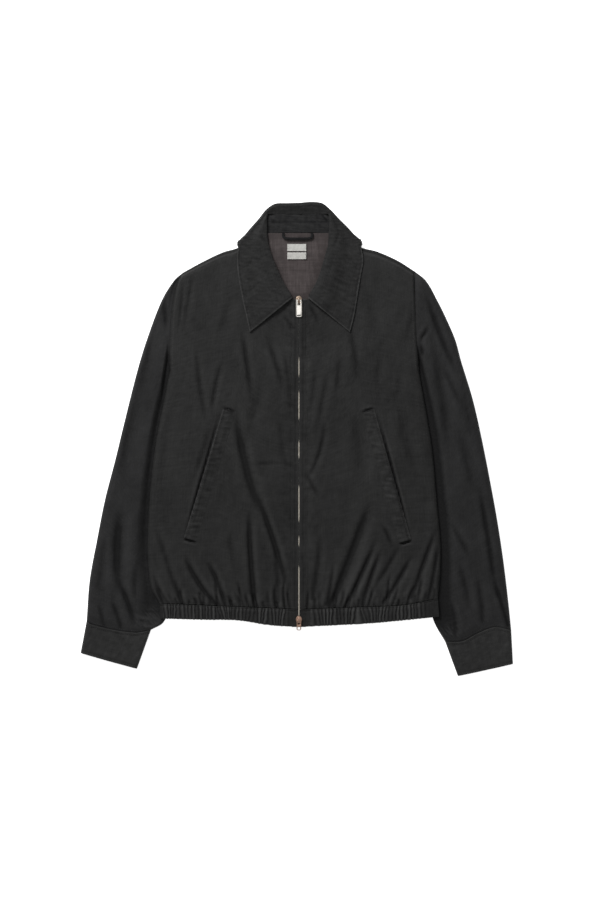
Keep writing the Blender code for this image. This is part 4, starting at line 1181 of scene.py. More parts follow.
def place_sleeve(side):
    """Points around and along a sleeve from the armhole to the cuff's seam, and their wear with
    painted shade.
    """
    lines = LINES[side]
    creases = CREASES["sleeve_" + side]

    def place(u, v):
        upper, across = ring_shares(u)
        start, end = sleeve_plan(lines, across, 0.0), sleeve_plan(lines, across, 1.0)
        head = lines["armhole"].at(1 - across) + [SIGN[side] * SEAM_GAP, 0]
        plan = sleeve_plan(lines, across, v) + (head - start) * (1 - soft(v / 0.13))[:, None]
        plan = plan + (lines["cuff_seam"].at(across) - end) * soft((v - 0.9) / 0.1)[:, None]
        x, y = plan.T
        length = lines["sleeve_outer"].length
        width = np.linalg.norm(lines["sleeve_outer"].at(v) - lines["crease"].at(v), axis=1)
        relief, tone = crease_relief(x, y, creases)
        swell = swell_of("sleeve", x, y, side)
        # where the cloth is free of its edges and seams
        free = soft(across / 0.14) * soft((0.86 - across) / 0.2)
        free = blend(free, 1, soft((v - 0.93) / 0.07) * soft((1 - across) / 0.1) * 0.8)
        free = free * soft(v / 0.05)
        crown = SLEEVE_TOP + (relief + swell) * free * (0.4 + 0.6 * soft((1 - v) / 0.05))
        tucked = 1 - soft((across - 0.63) / 0.2) * (1 - soft((v - 0.9) / 0.08))
        top = blend(TUCK_TOP, crown, tucked)
        # the armhole's height at one end and the cuff's at the other
        head_top = blend(TUCK_TOP, table(SIDE_TOP, 1 - across / 3), soft((1.06 - across) / 0.12))
        top = blend(head_top, top, soft(v * length / 16))
        top = blend(top, CUFF_TOP - 0.2, soft((v - 0.97) / 0.03))
        edge = blend(SHOULDER_EDGE_Z, EDGE_Z, rounded(v * length, 30))
        to_outer = across * width
        to_inner = (1 - across) * width
        top = blend(edge, top, rounded(to_outer, 13))
        top = blend(INNER_Z, top, rounded(to_inner, 4))
        low = edge * (1 - rounded(to_outer, 6)) + INNER_Z * (1 - rounded(to_inner, 4))
        low = np.maximum(low, 1.3 * soft((across - 0.6) / 0.2) * (1 - soft((v - 0.05) / 0.03)))
        z = np.where(upper, top, low)
        # the two seams, and the small folds that bunch at the cuff
        seam = ridge(v * length, 1.5, 1.2)
        join = ridge((1 - v) * length, 1.5, 1.0)
        bunched = (soft((across - 0.55) / 0.3) * soft((v - 0.86) / 0.06)
                   * soft((1 - across) / 0.1) * soft((1 - v) / 0.03))
        fine = ripples(x + y, (x - y) * 0.2, 4.5, "bunched " + side)
        z = z - upper * (0.1 * seam + 0.8 * join - 0.5 * bunched * fine)
        # crease tone and the bunched folds' tone are painted shade in their hollows; TUCK_SHADE
        # paints the shade beside the body, where the sleeve goes under it
        wear = (tone * free + 0.11 - 0.06 * seam - 0.5 * join + 0.35 * bunched * fine
                + 0.12 * ridge(v * length, 1.8, 4.5)
                + 0.16 * ridge((1 - v) * length, 1.8, 3.5)
                + 0.35 * ridge(to_outer, 2.5)
                - TUCK_SHADE[side] * soft((across - 0.66) / 0.16) * (1 - soft((v - 0.9) / 0.08)))
        return np.stack([x, y, z], -1), wear

    return place


def place_cuff(side):
    """Points around and along a cuff, and their wear."""
    lines = LINES[side]

    def place(u, v):
        upper, across = ring_shares(u)
        start, end = lines["cuff_seam"].at(across), lines["cuff_end"].at(across)
        down = (end - start) / np.linalg.norm(end - start, axis=1)[:, None]
        start = start + down * SEAM_GAP
        x, y = blend(start, end, v[:, None]).T
        length = np.linalg.norm(end - start, axis=1)
        width = lines["cuff_seam"].length
        to_outer, to_inner = across * width, (1 - across) * width
        to_start, to_end = v * length, (1 - v) * length
        swell = swell_of("cuff", x, y, side)
        rib = ridge(to_start, 1.3, 4.5) + ridge(to_end, 1.3, 4.5)
        top = CUFF_TOP + swell - 0.3 * rib + 0.35 * ridge(to_start, 1.5, 1.8)
        top = top - 0.9 * v
        pleat = soft((across - 0.66) / 0.015) - soft((across - 0.72) / 0.05)
        top = top + 0.7 * pleat * (1 - v) * (side == "left")
        edge = EDGE_Z
        top = blend(edge, top, rounded(to_outer, 7) * rounded(to_inner, 7))
        low = edge * (1 - rounded(to_outer, 4) * rounded(to_inner, 4))
        z = np.where(upper, top, low)
        worn = (0.45 * ridge(to_end, 1.3) + 0.12 * ridge(to_start, 1.3)
                + 0.3 * ridge(to_outer, 2.0) + 0.3 * ridge(to_inner, 2.0)
                - 0.2 * rib + 0.22 + 0.10 * ripples(x, y, 12, "cuff fade " + side))
        return np.stack([x, y, z], -1), worn

    return place


def ribs(along, down, seed, length):
    """Rounded gathers of a band, each leaning its own way: height 0 to 1, unevenly wide."""
    chance = random.Random(seed)
    bounds, heights = [-12.0], []
    while bounds[-1] < length + 12:
        bounds.append(bounds[-1] + chance.uniform(*RIB_WIDTH))
        heights.append(chance.uniform(0.55, 1.0))
    bounds, heights = np.array(bounds), np.array(heights)
    lean = ripples(along, np.zeros_like(along), 34, seed + " lean")
    leaned = along + lean * down * 0.2 + 0.5 * ripples(along, down, 14, seed + " bend")
    index = np.clip(np.searchsorted(bounds, leaned) - 1, 0, len(heights) - 1)
    part = np.clip((leaned - bounds[index]) / (bounds[index + 1] - bounds[index]), 0, 1)
    return heights[index] * np.sin(math.pi * part) ** 0.75


def place_band(side, front):
    """Points of half the gathered waistband, from the seam down over its lower fold."""
    lines = LINES[side]
    length = lines["hem"].length
    seed = ("band " if front else "back band ") + side

    def place(u, v):
        seam = lines["hem"].at(u) - [0, SEAM_GAP]
        end = lines["band"].at(u)
        x, y = blend(seam, end, v[:, None]).T
        if front:
            x = x + (front_edge(side, y) - ZIP_X) * soft((u - 0.9) / 0.1)
        deep = np.linalg.norm(end - seam, axis=1)
        down, up, along = v * deep, (1 - v) * deep, u * length
        plain = soft((along - PLAIN_SIDE[side]) / 3) * soft((length - along - PLAIN_ZIP) / 5)
        rib = ribs(along, down, seed, length) * (0.12 + 0.88 * plain)
        pinch = 0.55 + 0.45 * soft(down / 5)
        stitched = ridge(down, 1.2, 3.2)
        y = y - 0.9 * (rib - 0.5) * plain * soft(v / 0.8)
        if front:
            top, edge, height = BAND_TOP, BAND_EDGE, BAND_HEIGHT
            top = blend(top, AT_ZIP_TOP + 0.2, soft((u - 0.88) / 0.08))
        else:
            lift = SIDE_LIFT * soft((0.24 - u) / 0.09)
            top, edge, height = BACK_BAND_TOP + lift, BACK_BAND_EDGE + lift, 0.0
        z = top + height * (rib - 0.45) * pinch - 0.5 * stitched
        z = blend(edge, z, rounded(up, 4))
        # painted highlight on the tops of the gathers and painted shade between them, together
        # with wear on the tops; the back band gets this tone without the gathers' relief
        wear = (1.2 * rib ** 3 - 0.13 + 0.35 * stitched * rib + 0.25 * ridge(up, 2)
                + 0.3 * ridge(down, 1.2) * rib)
        return np.stack([x, y, z], -1), wear

    return place


def leaf_points(line):
    """Middle points of a leaf section from the roll edge over the turn to its edge."""
    start = np.array([line.start_x, line.start_y, 0.0])
    folded = line.turn_x is not None
    rim = (np.array([line.turn_x, line.turn_y, 0.0]) if folded
           else np.array([line.end_x, line.end_y, 0.0]))
    reach = (rim - start) / np.linalg.norm(rim - start)
    inset = rim - reach * LEAF_TURN_REACH if folded else rim
    rest = min(LEAF_REST_Z, line.start_z + 0.4)
    points = []
    for share in np.linspace(0, 1, line.top):
        height = blend(line.start_z, rest, soft((share - 0.3) / 0.28))
        if share == 0 and line.start_z > LEAF_REST_Z:
            height -= ROLL_DROP
        points.append(blend(start, inset, share) + [0, 0, height])
    if not folded:
        return points
    points.append(rim + [0, 0, (rest + UNDER_LEAF_Z) / 2])
    if line.end_x is None:
        return points
    end = np.array([line.end_x, line.end_y, 0.0])
    first = rim - (rim - end) / np.linalg.norm(rim - end) * LEAF_TURN_REACH
    for share in np.linspace(0, 1, LEAF_POINTS - len(points)):
        points.append(blend(first, end, share) + [0, 0, UNDER_LEAF_Z])
    return points


class Leaf:
    """The collar leaf's fine grid, with each point's distance to its outer and front edge."""

    def __init__(self):
        lines = LEAF["right"] + [LEAF_MIDDLE] + LEAF["left"][::-1]
        along, across = LEAF_STEPS
        self.grid = lofted([leaf_points(line) for line in lines], along, across)
        rims = [min(line.top, LEAF_POINTS - 1) for line in lines]
        rims = np.interp(np.arange(self.grid.shape[0]) / along, range(len(rims)), rims)
        steps = np.linalg.norm(np.diff(self.grid, axis=1), axis=-1)
        travelled = np.concatenate([np.zeros((len(steps), 1)), np.cumsum(steps, 1)], 1)
        columns = np.arange(self.grid.shape[1])
        at_rim = np.array([np.interp(rim * across, columns, row)
                           for rim, row in zip(rims, travelled)])
        self.to_edge = at_rim[:, None] - travelled
        ends = [np.linalg.norm(self.grid - self.grid[index], axis=-1) for index in (0, -1)]
        self.to_front = np.minimum(*ends)
        self.under = columns[None, :] > rims[:, None] * across

    def place(self, u, v):
        points = picked(self.grid, u, v).copy()
        to_edge = picked(self.to_edge, u, v)
        to_front = picked(self.to_front, u, v)
        under = picked(self.under, u, v)
        x, y = points[:, 0], points[:, 1]
        edge = np.where(under, 99, to_edge)
        pucker = ripples(x * 0.4, y, 5.5, "pucker") * ridge(edge, 9)
        cross = ripples(x * 0.35, y + 0.35 * x, 8, "leaf lines") * 0.07
        relief, tone = crease_relief(x, y, CREASES["collar"])
        hem = np.minimum(np.abs(edge), to_front)
        stitched = ridge(hem, 1.0, LEAF_STITCH)
        lifted = 1.6 * ridge(to_front, 16) * soft((to_edge - 10) / 30)
        top_side = np.where(under, 0.0, 1.0)
        points[:, 2] += top_side * (0.30 * pucker + cross + lifted - 0.22 * stitched
                                    + relief * soft(hem / 6)
                                    + 0.35 * ripples(x, y, 32, "leaf swell") * soft(hem / 12))
        points[:, 2] = np.maximum(points[:, 2], LEAF_UNDER_LOW)
        ragged = 0.65 + 0.35 * ripples(x, y, 5, "rag")
        # crease and pucker tone paints shade into their hollows; the edges are worn lighter
        wear = (1.25 * ridge(hem, 1.5) * ragged - 0.22 * stitched
                + 1.2 * cross + 0.3 * pucker * 0.6 + tone * 0.7
                + 0.12 * ripples(x * 0.25, y, 4, "leaf streaks") - 0.04)
        # painted shade over the leaf's top near the back of its roll, whose slope faces away
        # from the light
        roll_shade = soft((y - 364) / 5) * soft((62 - np.abs(x - 3)) / 12)
        return points, wear * (1 - roll_shade) - 0.2 * roll_shade

    def stitch_lines(self, inset):
        """Plan paths at that inset from the outer edge, over the right and the left half."""
        halves = [], []
        for row in range(len(self.grid)):
            if self.to_front[row].max() < inset:
                continue
            order = np.argsort(self.to_edge[row])
            spot = [float(np.interp(inset, self.to_edge[row][order],
                                    self.grid[row][order, axis])) for axis in (0, 1)]
            halves[row >= len(self.grid) // 2].append(spot)
        return halves


def stand_grid():
    """The collar stand's fine grid, from its seam edge to its upper edge."""
    sections = []
    for line in STAND["right"] + [STAND_MIDDLE] + STAND["left"][::-1]:
        seam = np.array([line.seam_x, line.seam_y, line.seam_z])
        upper = np.array([line.upper_x, line.upper_y, line.upper_z])
        sections.append([blend(seam, upper, share) for share in STAND_SHARES])
    return lofted(sections, *STAND_STEPS)


def place_stand(grid):
    """Points of the collar stand, and their wear with the painted shade of its creases."""

    def place(u, v):
        points = picked(grid, u, v).copy()
        x, y = points[:, 0], points[:, 1]
        relief, tone = crease_relief(x, y, CREASES["collar"])
        band = soft((y - 342) / 5)
        line = ridge(y, 1.1, STAND_ROW) * band
        points[:, 2] += band * (relief + 0.35 * ripples(x, y * 2.2, 24, "stand")
                                + 0.12 * ripples(x, y * 2, 8, "stand fine")) - 0.3 * line
        # the creases' tone paints shade into their troughs
        wear = tone - 0.3 * line + 0.14 * ripples(x * 0.3, y, 3.5, "stand streaks") * band
        return points, wear - 0.04

    return place


def lining_top(y):
    """Top of the back's lining, which rises to the neck seam."""
    return LINING_LOW + NECK_LIFT * np.clip((y - 271) / 34.5, 0, 1)


def place_lining(u, v):
    """Points of the lining that the neck shows, and their wear with painted shade."""
    low, high = (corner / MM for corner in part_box("back_lining"))
    x = blend(low.x, high.x, u)
    y = blend(low.y, high.y, v)
    relief, tone = crease_relief(x, y, CREASES["lining"])
    z = lining_top(y) + swell_of("lining", x, y) + relief * 0.6
    away = np.clip((y - 226) / 114, 0, 1)
    half = 12 + 45 * away
    shade = soft((np.abs(x - 3) - half * 0.55) / (half * 0.6))
    # painted shade where the collar meets the lining: darker toward its sides, its top at the
    # neck seam and its lower end
    wear = (0.10 * ripples(x, y * 0.06, 3.2, "lining streaks")
            + 0.14 * ripples(x, y, 16, "lining blotch") + tone * 0.4 - 0.45 * shade
            - 0.35 * soft((y - 322) / 14) - 0.6 * soft((246 - y) / 12))
    return np.stack([x, y, z], -1), wear


def place_back_band(u, v):
    """Points of the waistband behind, right to left, and their wear with the painted light and
    shade of its gathers.
    """
    right, across = halves_of(u)
    (points, wear), (others, others_wear_and_shading) = (place_band(side, False)(across, v)
                                             for side in SIGN)
    return np.where(right[:, None], points, others), np.where(right, wear, others_wear_and_shading)


def welt_frame(side):
    """Upper end, direction down the welt, direction to its opening, and length."""
    welt = WELTS[side]
    top, low = np.array([welt.top_x, welt.top_y]), np.array([welt.low_x, welt.low_y])
    length = np.linalg.norm(low - top)
    down = (low - top) / length
    out = np.array([-down[1], down[0]])
    if out[0] * SIGN[side] < 0:
        out = -out
    return top, down, out, length


def place_welt(side, front):
    """Points of a pocket welt on its front's surface, and their wear with painted shade across
    its ends.
    """
    width = WELTS[side].width
    top, down, out, length = welt_frame(side)

    def place(u, v):
        spots = top + down * (v * length)[:, None] + out * ((u - 0.5) * width)[:, None]
        x, y = spots.T
        below = np.array([laid_on(front, *spot)[0].z / MM for spot in spots])
        to_ends = np.minimum(v, 1 - v) * length
        to_mouth, to_inner = (1 - u) * width, u * width
        lift = 0.12 + 1.6 * soft(to_inner / 12) * rounded(to_ends + 0.4, 2)
        swell = 0.25 * ripples(x, y, 18, "welt " + side)
        cross = 0.22 * ripples(x * 0.3, y, 7, "welt lines " + side)
        groove = ridge(to_mouth, 1.0, 3.4)
        z = below + lift + (swell + cross) * soft(to_inner / 5) - groove * 0.3
        ragged = 0.6 + 0.4 * ripples(x, y, 6, "welt worn " + side)
        # the two ends get dark lines of painted shade; the mouth's edge is worn lighter
        wear = (1.0 * ridge(to_mouth, 1.0) * ragged + 0.05 - 0.2 * groove
                - 0.8 * ridge(to_ends, 1.3) + cross * 0.8)
        return np.stack([x, y, z], -1), wear

    return place


def place_label(name, node):
    """Points of a blank label, which curls up at its ends, and their wear."""
    low, high = (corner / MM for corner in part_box(node))

    def place(u, v):
        x = blend(low.x, high.x, u)
        y = blend(low.y, high.y, v)
        z = lining_top(y) + 1.5 + 0.5 * np.abs(2 * u - 1) ** 3 + 0.18 * ripples(x, y, 9, name)
        edge = np.minimum(np.minimum(u, 1 - u) * 31, np.minimum(v, 1 - v) * 11)
        return np.stack([x, y, z], -1), -0.3 * ridge(edge, 0.8)

    return place


def place_loop(u, v):
    """Points of the hanging loop's strip across and along its path, and their wear."""
    path = Curve(LOOP_PATH)
    run = path.at(np.clip(v + 0.01, 0, 1)) - path.at(np.clip(v - 0.01, 0, 1))
    run = run / np.linalg.norm(run, axis=1)[:, None]
    sideways = np.stack([-run[:, 1], run[:, 0]], -1)
    x, y = (path.at(v) + sideways * ((u - 0.5) * LOOP_WIDTH)[:, None]).T
    z = lining_top(y) + 2.2 + 1.0 * soft(np.minimum(v, 1 - v) / 0.25)
    z = z + 0.3 * rounded(np.minimum(u, 1 - u) * LOOP_WIDTH, 1.5)
    return np.stack([x, y, z], -1), 0.2 * np.abs(2 * u - 1) ** 4 - 0.6


# Operators.


def cells_for(width, length):
    """Cells across and along a piece of that size in metres."""
    cell = settings("cloth").cell
    return max(int(width / cell), 4), max(int(length / cell), 4)


class BuildBack(bpy.types.Operator):
    """Lays the back panel, which rests on the surface and on the sleeves' tucked edges"""

    bl_idname = "jacket.back"
    bl_label = "Back"

    def execute(self, context):
        add_cloth("back_cloth", "back", place_back, "panel", "shell", ["back"])
        return {"FINISHED"}


class BuildLining(bpy.types.Operator):
    """Lays the part of the back's lining that the neck shows"""

    bl_idname = "jacket.lining"
    bl_label = "Lining"

    def execute(self, context):
        add_cloth("lining_cloth", "lining", place_lining, "lining", "lining", ["back_lining"])
        return {"FINISHED"}


class BuildFronts(bpy.types.Operator):
    """Lays the two fronts, whose folded edges meet over the zip"""

    bl_idname = "jacket.fronts"
    bl_label = "Fronts"

    def execute(self, context):
        for side in SIGN:
            add_cloth("front_" + side + "_cloth", "front", place_front(side), "panel", "shell",
                      ["front_" + side],
                      cells=cells_for(*FRONT_SPAN), turned=side == "left")
        return {"FINISHED"}


class BuildSleeves(bpy.types.Operator):
    """Lays the two sleeves as flattened tubes, tucked under the body along the underarm"""

    bl_idname = "jacket.sleeves"
    bl_label = "Sleeves"

    def execute(self, context):
        for side in SIGN:
            add_cloth("sleeve_" + side + "_cloth", "sleeve", place_sleeve(side), "sleeve",
                      "sleeve", ["sleeve_" + side], turned=side == "right", ring=True)
        return {"FINISHED"}


class BuildCuffs(bpy.types.Operator):
    """Lays the two doubled cuffs below the sleeves"""

    bl_idname = "jacket.cuffs"
    bl_label = "Cuffs"

    def execute(self, context):
        for side in SIGN:
            add_cloth("cuff_" + side + "_cloth", "cuff", place_cuff(side), "cuff", "shell",
                      ["cuff_" + side], turned=side == "right", ring=True)
        return {"FINISHED"}


class BuildWaistband(bpy.types.Operator):
    """Lays the gathered waistband, in two halves in front and one piece behind"""

    bl_idname = "jacket.waistband"
    bl_label = "Waistband"

    def execute(self, context):
        for side in SIGN:
            add_cloth("waistband_" + side + "_cloth", "band", place_band(side, True), "band",
                      "shell", ["hem_band_" + side],
                      turned=side == "right")
        add_cloth("waistband_back_cloth", "back_band", place_back_band, "panel", "shell",
                  ["hem_band_back"], turned=True)
        return {"FINISHED"}


class BuildCollar(bpy.types.Operator):
    """Lays the collar's stand and its turned-down leaf"""

    bl_idname = "jacket.collar"
    bl_label = "Collar"

    def execute(self, context):
        leaf, stand = Leaf(), stand_grid()
        for name, kind, grid, place, finish in (
                ("collar_leaf", "leaf", leaf.grid, leaf.place, "shell"),
                ("collar_stand", "stand", stand, place_stand(stand), "stand")):
            add_cloth(name + "_cloth", kind, place, kind, finish, [name],
                      cells=(grid.shape[1] - 1, grid.shape[0] - 1),
                      uv_size=FLAT[kind][1::-1], turned=True, middle=True)
        return {"FINISHED"}


class BuildPockets(bpy.types.Operator):
    """Sews the two slanted pocket welts on the fronts"""

    bl_idname = "jacket.pockets"
    bl_label = "Pockets"

    def execute(self, context):
        for side in SIGN:
            front = bpy.data.objects["front_" + side + "_cloth"]
            add_cloth("welt_" + side, "welt", place_welt(side, surface_of(front)), "welt",
                      "shell", ["pocket_welt_" + side], turned=side == "left")
        return {"FINISHED"}


class BuildNeckTrim(bpy.types.Operator):
    """Sews the hanging loop and the two blank labels in the neck"""

    bl_idname = "jacket.neck_trim"
    bl_label = "Neck trim"

    def execute(self, context):
        for name, node in (("upper_label", "label_upper"), ("lower_label", "label_lower")):
            add_cloth(name, "label", place_label(name, node), "label", "label", [node])
        add_cloth("neck_loop", "loop", place_loop, "loop", "stand", ["hanger_loop"],
                  uv_size=(LOOP_WIDTH * MM, FLAT["loop"][0]),
                  turned=True)
        return {"FINISHED"}


def small_solid(shape, size):
    """A template mesh: a rounded box or a thread's bead, of that size in metres."""
    mesh_data = bmesh.new()
    if shape == "box":
        bmesh.ops.create_cube(mesh_data, size=1)
    else:
        bmesh.ops.create_icosphere(mesh_data, subdivisions=1, radius=0.5)
    bmesh.ops.scale(mesh_data, vec=size, verts=mesh_data.verts)
    if shape == "box":
        bmesh.ops.bevel(mesh_data, geom=mesh_data.edges[:], offset=min(size) * 0.22,
                        affect="EDGES", segments=1, profile=0.5, material=-1)
    return mesh_from(mesh_data, "template")


def rounded_copy(node, width):
    """A copy of a CAD node's mesh, merged, with its edges rounded."""
    mesh_data = bmesh.new()
    mesh_data.from_mesh(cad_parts[node].data)
    bmesh.ops.remove_doubles(mesh_data, verts=mesh_data.verts, dist=1e-6)
    bmesh.ops.dissolve_limit(mesh_data, angle_limit=math.radians(1.5), verts=mesh_data.verts,
                             edges=mesh_data.edges)
    sharp = [edge for edge in mesh_data.edges
             if edge.is_manifold and edge.calc_face_angle(0.0) > math.radians(28)]
    bmesh.ops.bevel(mesh_data, geom=sharp, offset=width, affect="EDGES", segments=2,
                    profile=0.5, material=-1, clamp_overlap=True)
    mesh = mesh_from(mesh_data, node)
    mesh.shade_smooth()
    mesh.set_sharp_from_angle(angle=math.radians(40))
    return mesh


class BuildZip(bpy.types.Operator):
    """Sets the zip's teeth and rounds the edges of its sliders and pull tabs"""

    bl_idname = "jacket.zip"
    bl_label = "Zip"

    def execute(self, context):
        trim = settings("trim")
        length, depth, pitch = trim.tooth_length, trim.tooth_depth, trim.tooth_pitch
        template = small_solid("box", (length, pitch * TOOTH_FILL, depth))
        places = []
        middle = (CHAIN_LOW.z + CHAIN_HIGH.z) / 2 * MM
        low, high = CHAIN_LOW.y * MM, CHAIN_HIGH.y * MM
        for side in (-1, 1):
            count = int((high - low) / pitch)
            for index in range(count):
                y = low + (index + 0.5 + side * 0.25) * (high - low) / count
                x = ZIP_X * MM + side * length * TOOTH_OUT
                places.append(Matrix.Translation((x, y, middle)))
        mesh = repeated("zip_teeth", template, places)
        mesh.shade_flat()
        add_piece("zip_teeth", mesh, "garment", finish_of("teeth"), ["zip_chain"])
        for side in SIGN:
            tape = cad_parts["zip_tape_" + side].data
            tape.materials.clear()
            tape.materials.append(finish_of("tape"))
        for end, metal in (("top", "nickel"), ("bottom", "copper")):
            for part, body in (("slider", "garment"), ("pull", "pull_" + end)):
                node = "zip_" + part + "_" + end
                finish = "brass" if node == "zip_slider_top" else metal
                add_piece("metal_" + part + "_" + end, rounded_copy(node, trim.metal_edge),
                          body, finish_of(finish), [node])
        return {"FINISHED"}


def stitch_row(path, tree, inset=2.0, sink=0.1):
    """Places of the stitches along a plan path over a surface."""
    trim = settings("trim")
    places = []
    for x, y, direction in along_path(path, trim.stitch_pitch / MM, inset):
        found = laid_on(tree, x, y)
        if found is None:
            continue
        spot, normal = found
        along = Vector((direction[0], direction[1], 0))
        along = (along - normal * along.dot(normal)).normalized()
        across = normal.cross(along)
        turned = Matrix((along, across, normal)).transposed().to_4x4()
        places.append(Matrix.Translation(spot + normal * sink * MM) @ turned)
    return places


def seam_rows():
    """Plan paths of the stitched seams, each with the piece that carries it."""
    rows = [(path, "collar_leaf_cloth") for path in Leaf().stitch_lines(LEAF_STITCH)]
    for side, sign in SIGN.items():
        first = LEAF[side][0]
        start = np.array([first.start_x + sign * 2, first.start_y + 2.6])
        end = np.array([first.end_x, first.end_y + 3.2])
        rows.append(([start, end], "collar_leaf_cloth"))
        lines = LINES[side]
        front = "front_" + side + "_cloth"
        shares = np.linspace(0.02, 0.98, 60)
        along_zip = [(ZIP_X + sign * FACING, y) for y in np.linspace(-276, 236, 200)]
        rows.append((along_zip, front))
        rows.append((lines["shoulder"].at(shares) - [0, SHOULDER_STITCH], front))
        rows.append((lines["armhole"].at(shares) - [sign * ARMHOLE_STITCH, 0], front))
        rows.append((lines["hem"].at(shares) + [0, HEM_STITCH], front))
        rows.append((lines["hem"].at(shares) - [0, BAND_STITCH], "waistband_" + side + "_cloth"))
        cuff = "cuff_" + side + "_cloth"
        seam, end = lines["cuff_seam"].at(shares), lines["cuff_end"].at(shares)
        down = (end - seam) / np.linalg.norm(end - seam, axis=1)[:, None]
        rows.append((seam + down * CUFF_STITCH, cuff))
        rows.append((end - down * CUFF_STITCH, cuff))
        rows.append((seam - down * SLEEVE_STITCH, "sleeve_" + side + "_cloth"))
        top, down, out, length = welt_frame(side)
        mouth = top + out * (WELTS[side].width / 2 - WELT_STITCH)
        rows.append(([mouth + down * 3, mouth + down * (length - 3)], "welt_" + side))
    for y in (STAND_ROW, STAND_SEAM):
        rows.append(([(-46, y), (52, y)], "collar_stand_cloth"))
    return rows


class BuildStitching(bpy.types.Operator):
    """Sews the stitches of the seams and edges"""

    bl_idname = "jacket.stitching"
    bl_label = "Stitching"

    def execute(self, context):
        trim = settings("trim")
        size = (trim.stitch_length, trim.stitch_width, trim.stitch_width * 0.8)
        template = small_solid("bead", size)
        trees = {}
        places = []
        for path, name in seam_rows():
            if name not in trees:
                trees[name] = surface_of(bpy.data.objects[name])
            places += stitch_row(path, trees[name])
        if not places:
            raise RuntimeError("the stitches found no cloth below them")
        mesh = repeated("seam_stitches", template, places)
        add_piece("seam_stitches", mesh, "garment", finish_of("thread"))
        label_places = []
        for name in ("upper_label", "lower_label"):
            piece = bpy.data.objects[name]
            tree = surface_of(piece)
            spots = np.array([vertex.co[:] for vertex in piece.data.vertices]) / MM
            low, high = spots.min(0), spots.max(0)
            for x in (low[0] + 1.2, high[0] - 1.2):
                label_places += stitch_row([(x, low[1] + 1), (x, high[1] - 1)], tree, 0.5)
        small = small_solid("bead", (trim.stitch_length * 0.6, trim.stitch_width * 0.7,
                                     trim.stitch_width * 0.6))
        mesh = repeated("label_stitches", small, label_places)
        add_piece("label_stitches", mesh, "garment", finish_of("thread"))
        return {"FINISHED"}


def floor_finish():
    """Pale paper that stays light under the jacket's own soft shadow."""
    nodes = Nodes("Jacket floor")
    place = nodes.add("TexCoord").outputs["Object"]
    tone = nodes.noise(place, 3, 2)
    nodes.set(nodes.shader, "Base Color", nodes.mixed(tone, (0.93, 0.93, 0.93, 1),
                                                      (0.96, 0.96, 0.96, 1)))
    nodes.set(nodes.shader, "Roughness", 1.0)
    nodes.set(nodes.shader, "Specular IOR Level", 0.0)
    nodes.set(nodes.shader, "Emission Color", (1.0, 1.0, 1.0, 1))
    nodes.set(nodes.shader, "Emission Strength", 0.75)
    return nodes.material


def add_light(name, shape, power, size, place):
    """A soft area light, which looks straight down until it is turned."""
    lamp = bpy.data.lights.new(name, "AREA")
    lamp.energy = power
    lamp.shape = shape
    lamp.size = size
    light = bpy.data.objects.new(name, lamp)
    light.location = place
    bpy.context.scene.collection.objects.link(light)
    return light


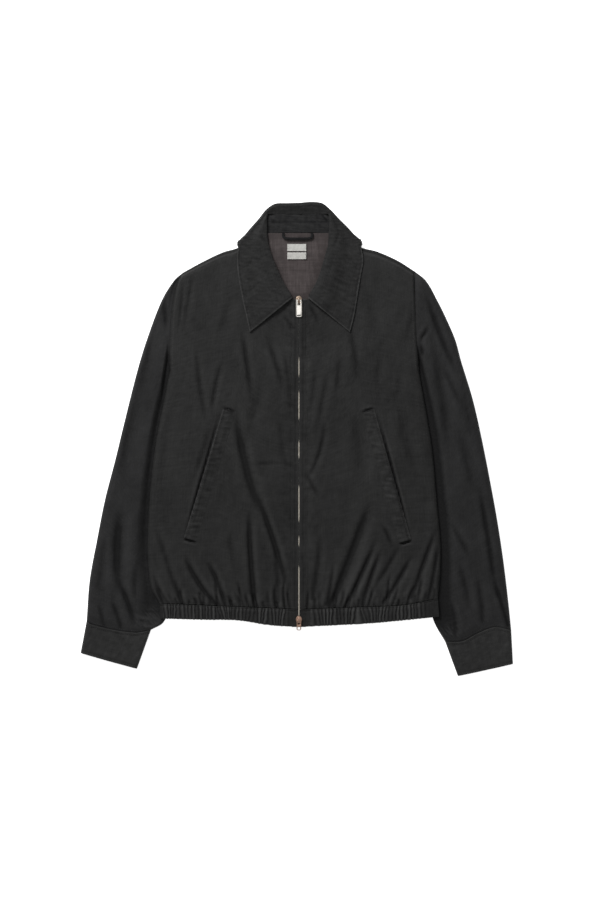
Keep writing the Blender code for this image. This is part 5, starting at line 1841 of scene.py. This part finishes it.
class BuildStage(bpy.types.Operator):
    """Adds the pale floor, the soft light and the camera straight above"""

    bl_idname = "jacket.stage"
    bl_label = "Stage"

    def execute(self, context):
        studio = settings("studio")
        scene = context.scene
        mesh = grid_of("floor", 2, 2)[0]
        mesh.transform(Matrix.Translation((0, 0, -FLOOR_DROP)) @ Matrix.Scale(FLOOR_HALF, 4))
        mesh.materials.append(floor_finish())
        floor = bpy.data.objects.new("floor", mesh)
        scene.collection.objects.link(floor)
        world = bpy.data.worlds.new("Jacket room")
        world.use_nodes = True
        background = world.node_tree.nodes["Background"]
        background.inputs["Color"].default_value = (1.0, 1.0, 1.0, 1)
        background.inputs["Strength"].default_value = studio.world
        scene.world = world
        key = add_light("key", "DISK", studio.key, KEY_SIZE, KEY_PLACE)
        key.rotation_euler = (-key.location).to_track_quat("-Z", "Y").to_euler()
        add_light("overhead", "SQUARE", studio.overhead, OVERHEAD_SIZE,
                  (0, 0, studio.camera_height + 0.5))
        centre = (CAD_LOW + CAD_HIGH) / 2
        lens = bpy.data.cameras.new("camera")
        lens.lens = LENS
        lens.sensor_width = SENSOR
        camera = bpy.data.objects.new("camera", lens)
        camera.location = (centre.x + CAMERA_SHIFT[0], centre.y + CAMERA_SHIFT[1],
                           studio.camera_height)
        scene.collection.objects.link(camera)
        scene.camera = camera
        scene.view_settings.view_transform = "Standard"
        return {"FINISHED"}


class JacketPanel(bpy.types.Panel):
    """Lists the pieces of the jacket and what can be changed"""

    bl_idname = "VIEW3D_PT_jacket"
    bl_label = "Harrington Jacket"
    bl_space_type = "VIEW_3D"
    bl_region_type = "UI"
    bl_category = "Jacket"

    def draw(self, context):
        for group in GROUPS:
            box = self.layout.box()
            values = settings(group)
            for name in values.bl_rna.properties.keys():
                if name not in ("rna_type", "name"):
                    box.prop(values, name)
        for operator in OPERATORS:
            self.layout.operator(operator.bl_idname)


GROUPS = {
    "cloth": JacketCloth,
    "trim": JacketTrim,
    "colours": JacketColours,
    "studio": JacketStudio,
}
OPERATORS = (BuildBack, BuildLining, BuildSleeves, BuildFronts, BuildCuffs, BuildWaistband,
             BuildCollar, BuildPockets, BuildNeckTrim, BuildZip, BuildStitching, BuildStage)


def register():
    for group in GROUPS.values():
        bpy.utils.register_class(group)
    for name, group in GROUPS.items():
        setattr(bpy.types.Scene, "jacket_" + name, PointerProperty(type=group))
    for operator in OPERATORS:
        bpy.utils.register_class(operator)
    bpy.utils.register_class(JacketPanel)


def unregister():
    bpy.utils.unregister_class(JacketPanel)
    for operator in reversed(OPERATORS):
        bpy.utils.unregister_class(operator)
    for name, group in GROUPS.items():
        delattr(bpy.types.Scene, "jacket_" + name)
        bpy.utils.unregister_class(group)


def main():
    register()
    bpy.ops.jacket.back()
    bpy.ops.jacket.lining()
    bpy.ops.jacket.sleeves()
    bpy.ops.jacket.fronts()
    bpy.ops.jacket.cuffs()
    bpy.ops.jacket.waistband()
    bpy.ops.jacket.collar()
    bpy.ops.jacket.pockets()
    bpy.ops.jacket.neck_trim()
    bpy.ops.jacket.zip()
    bpy.ops.jacket.stitching()
    bpy.ops.jacket.stage()


if __name__ == "__main__":
    main()
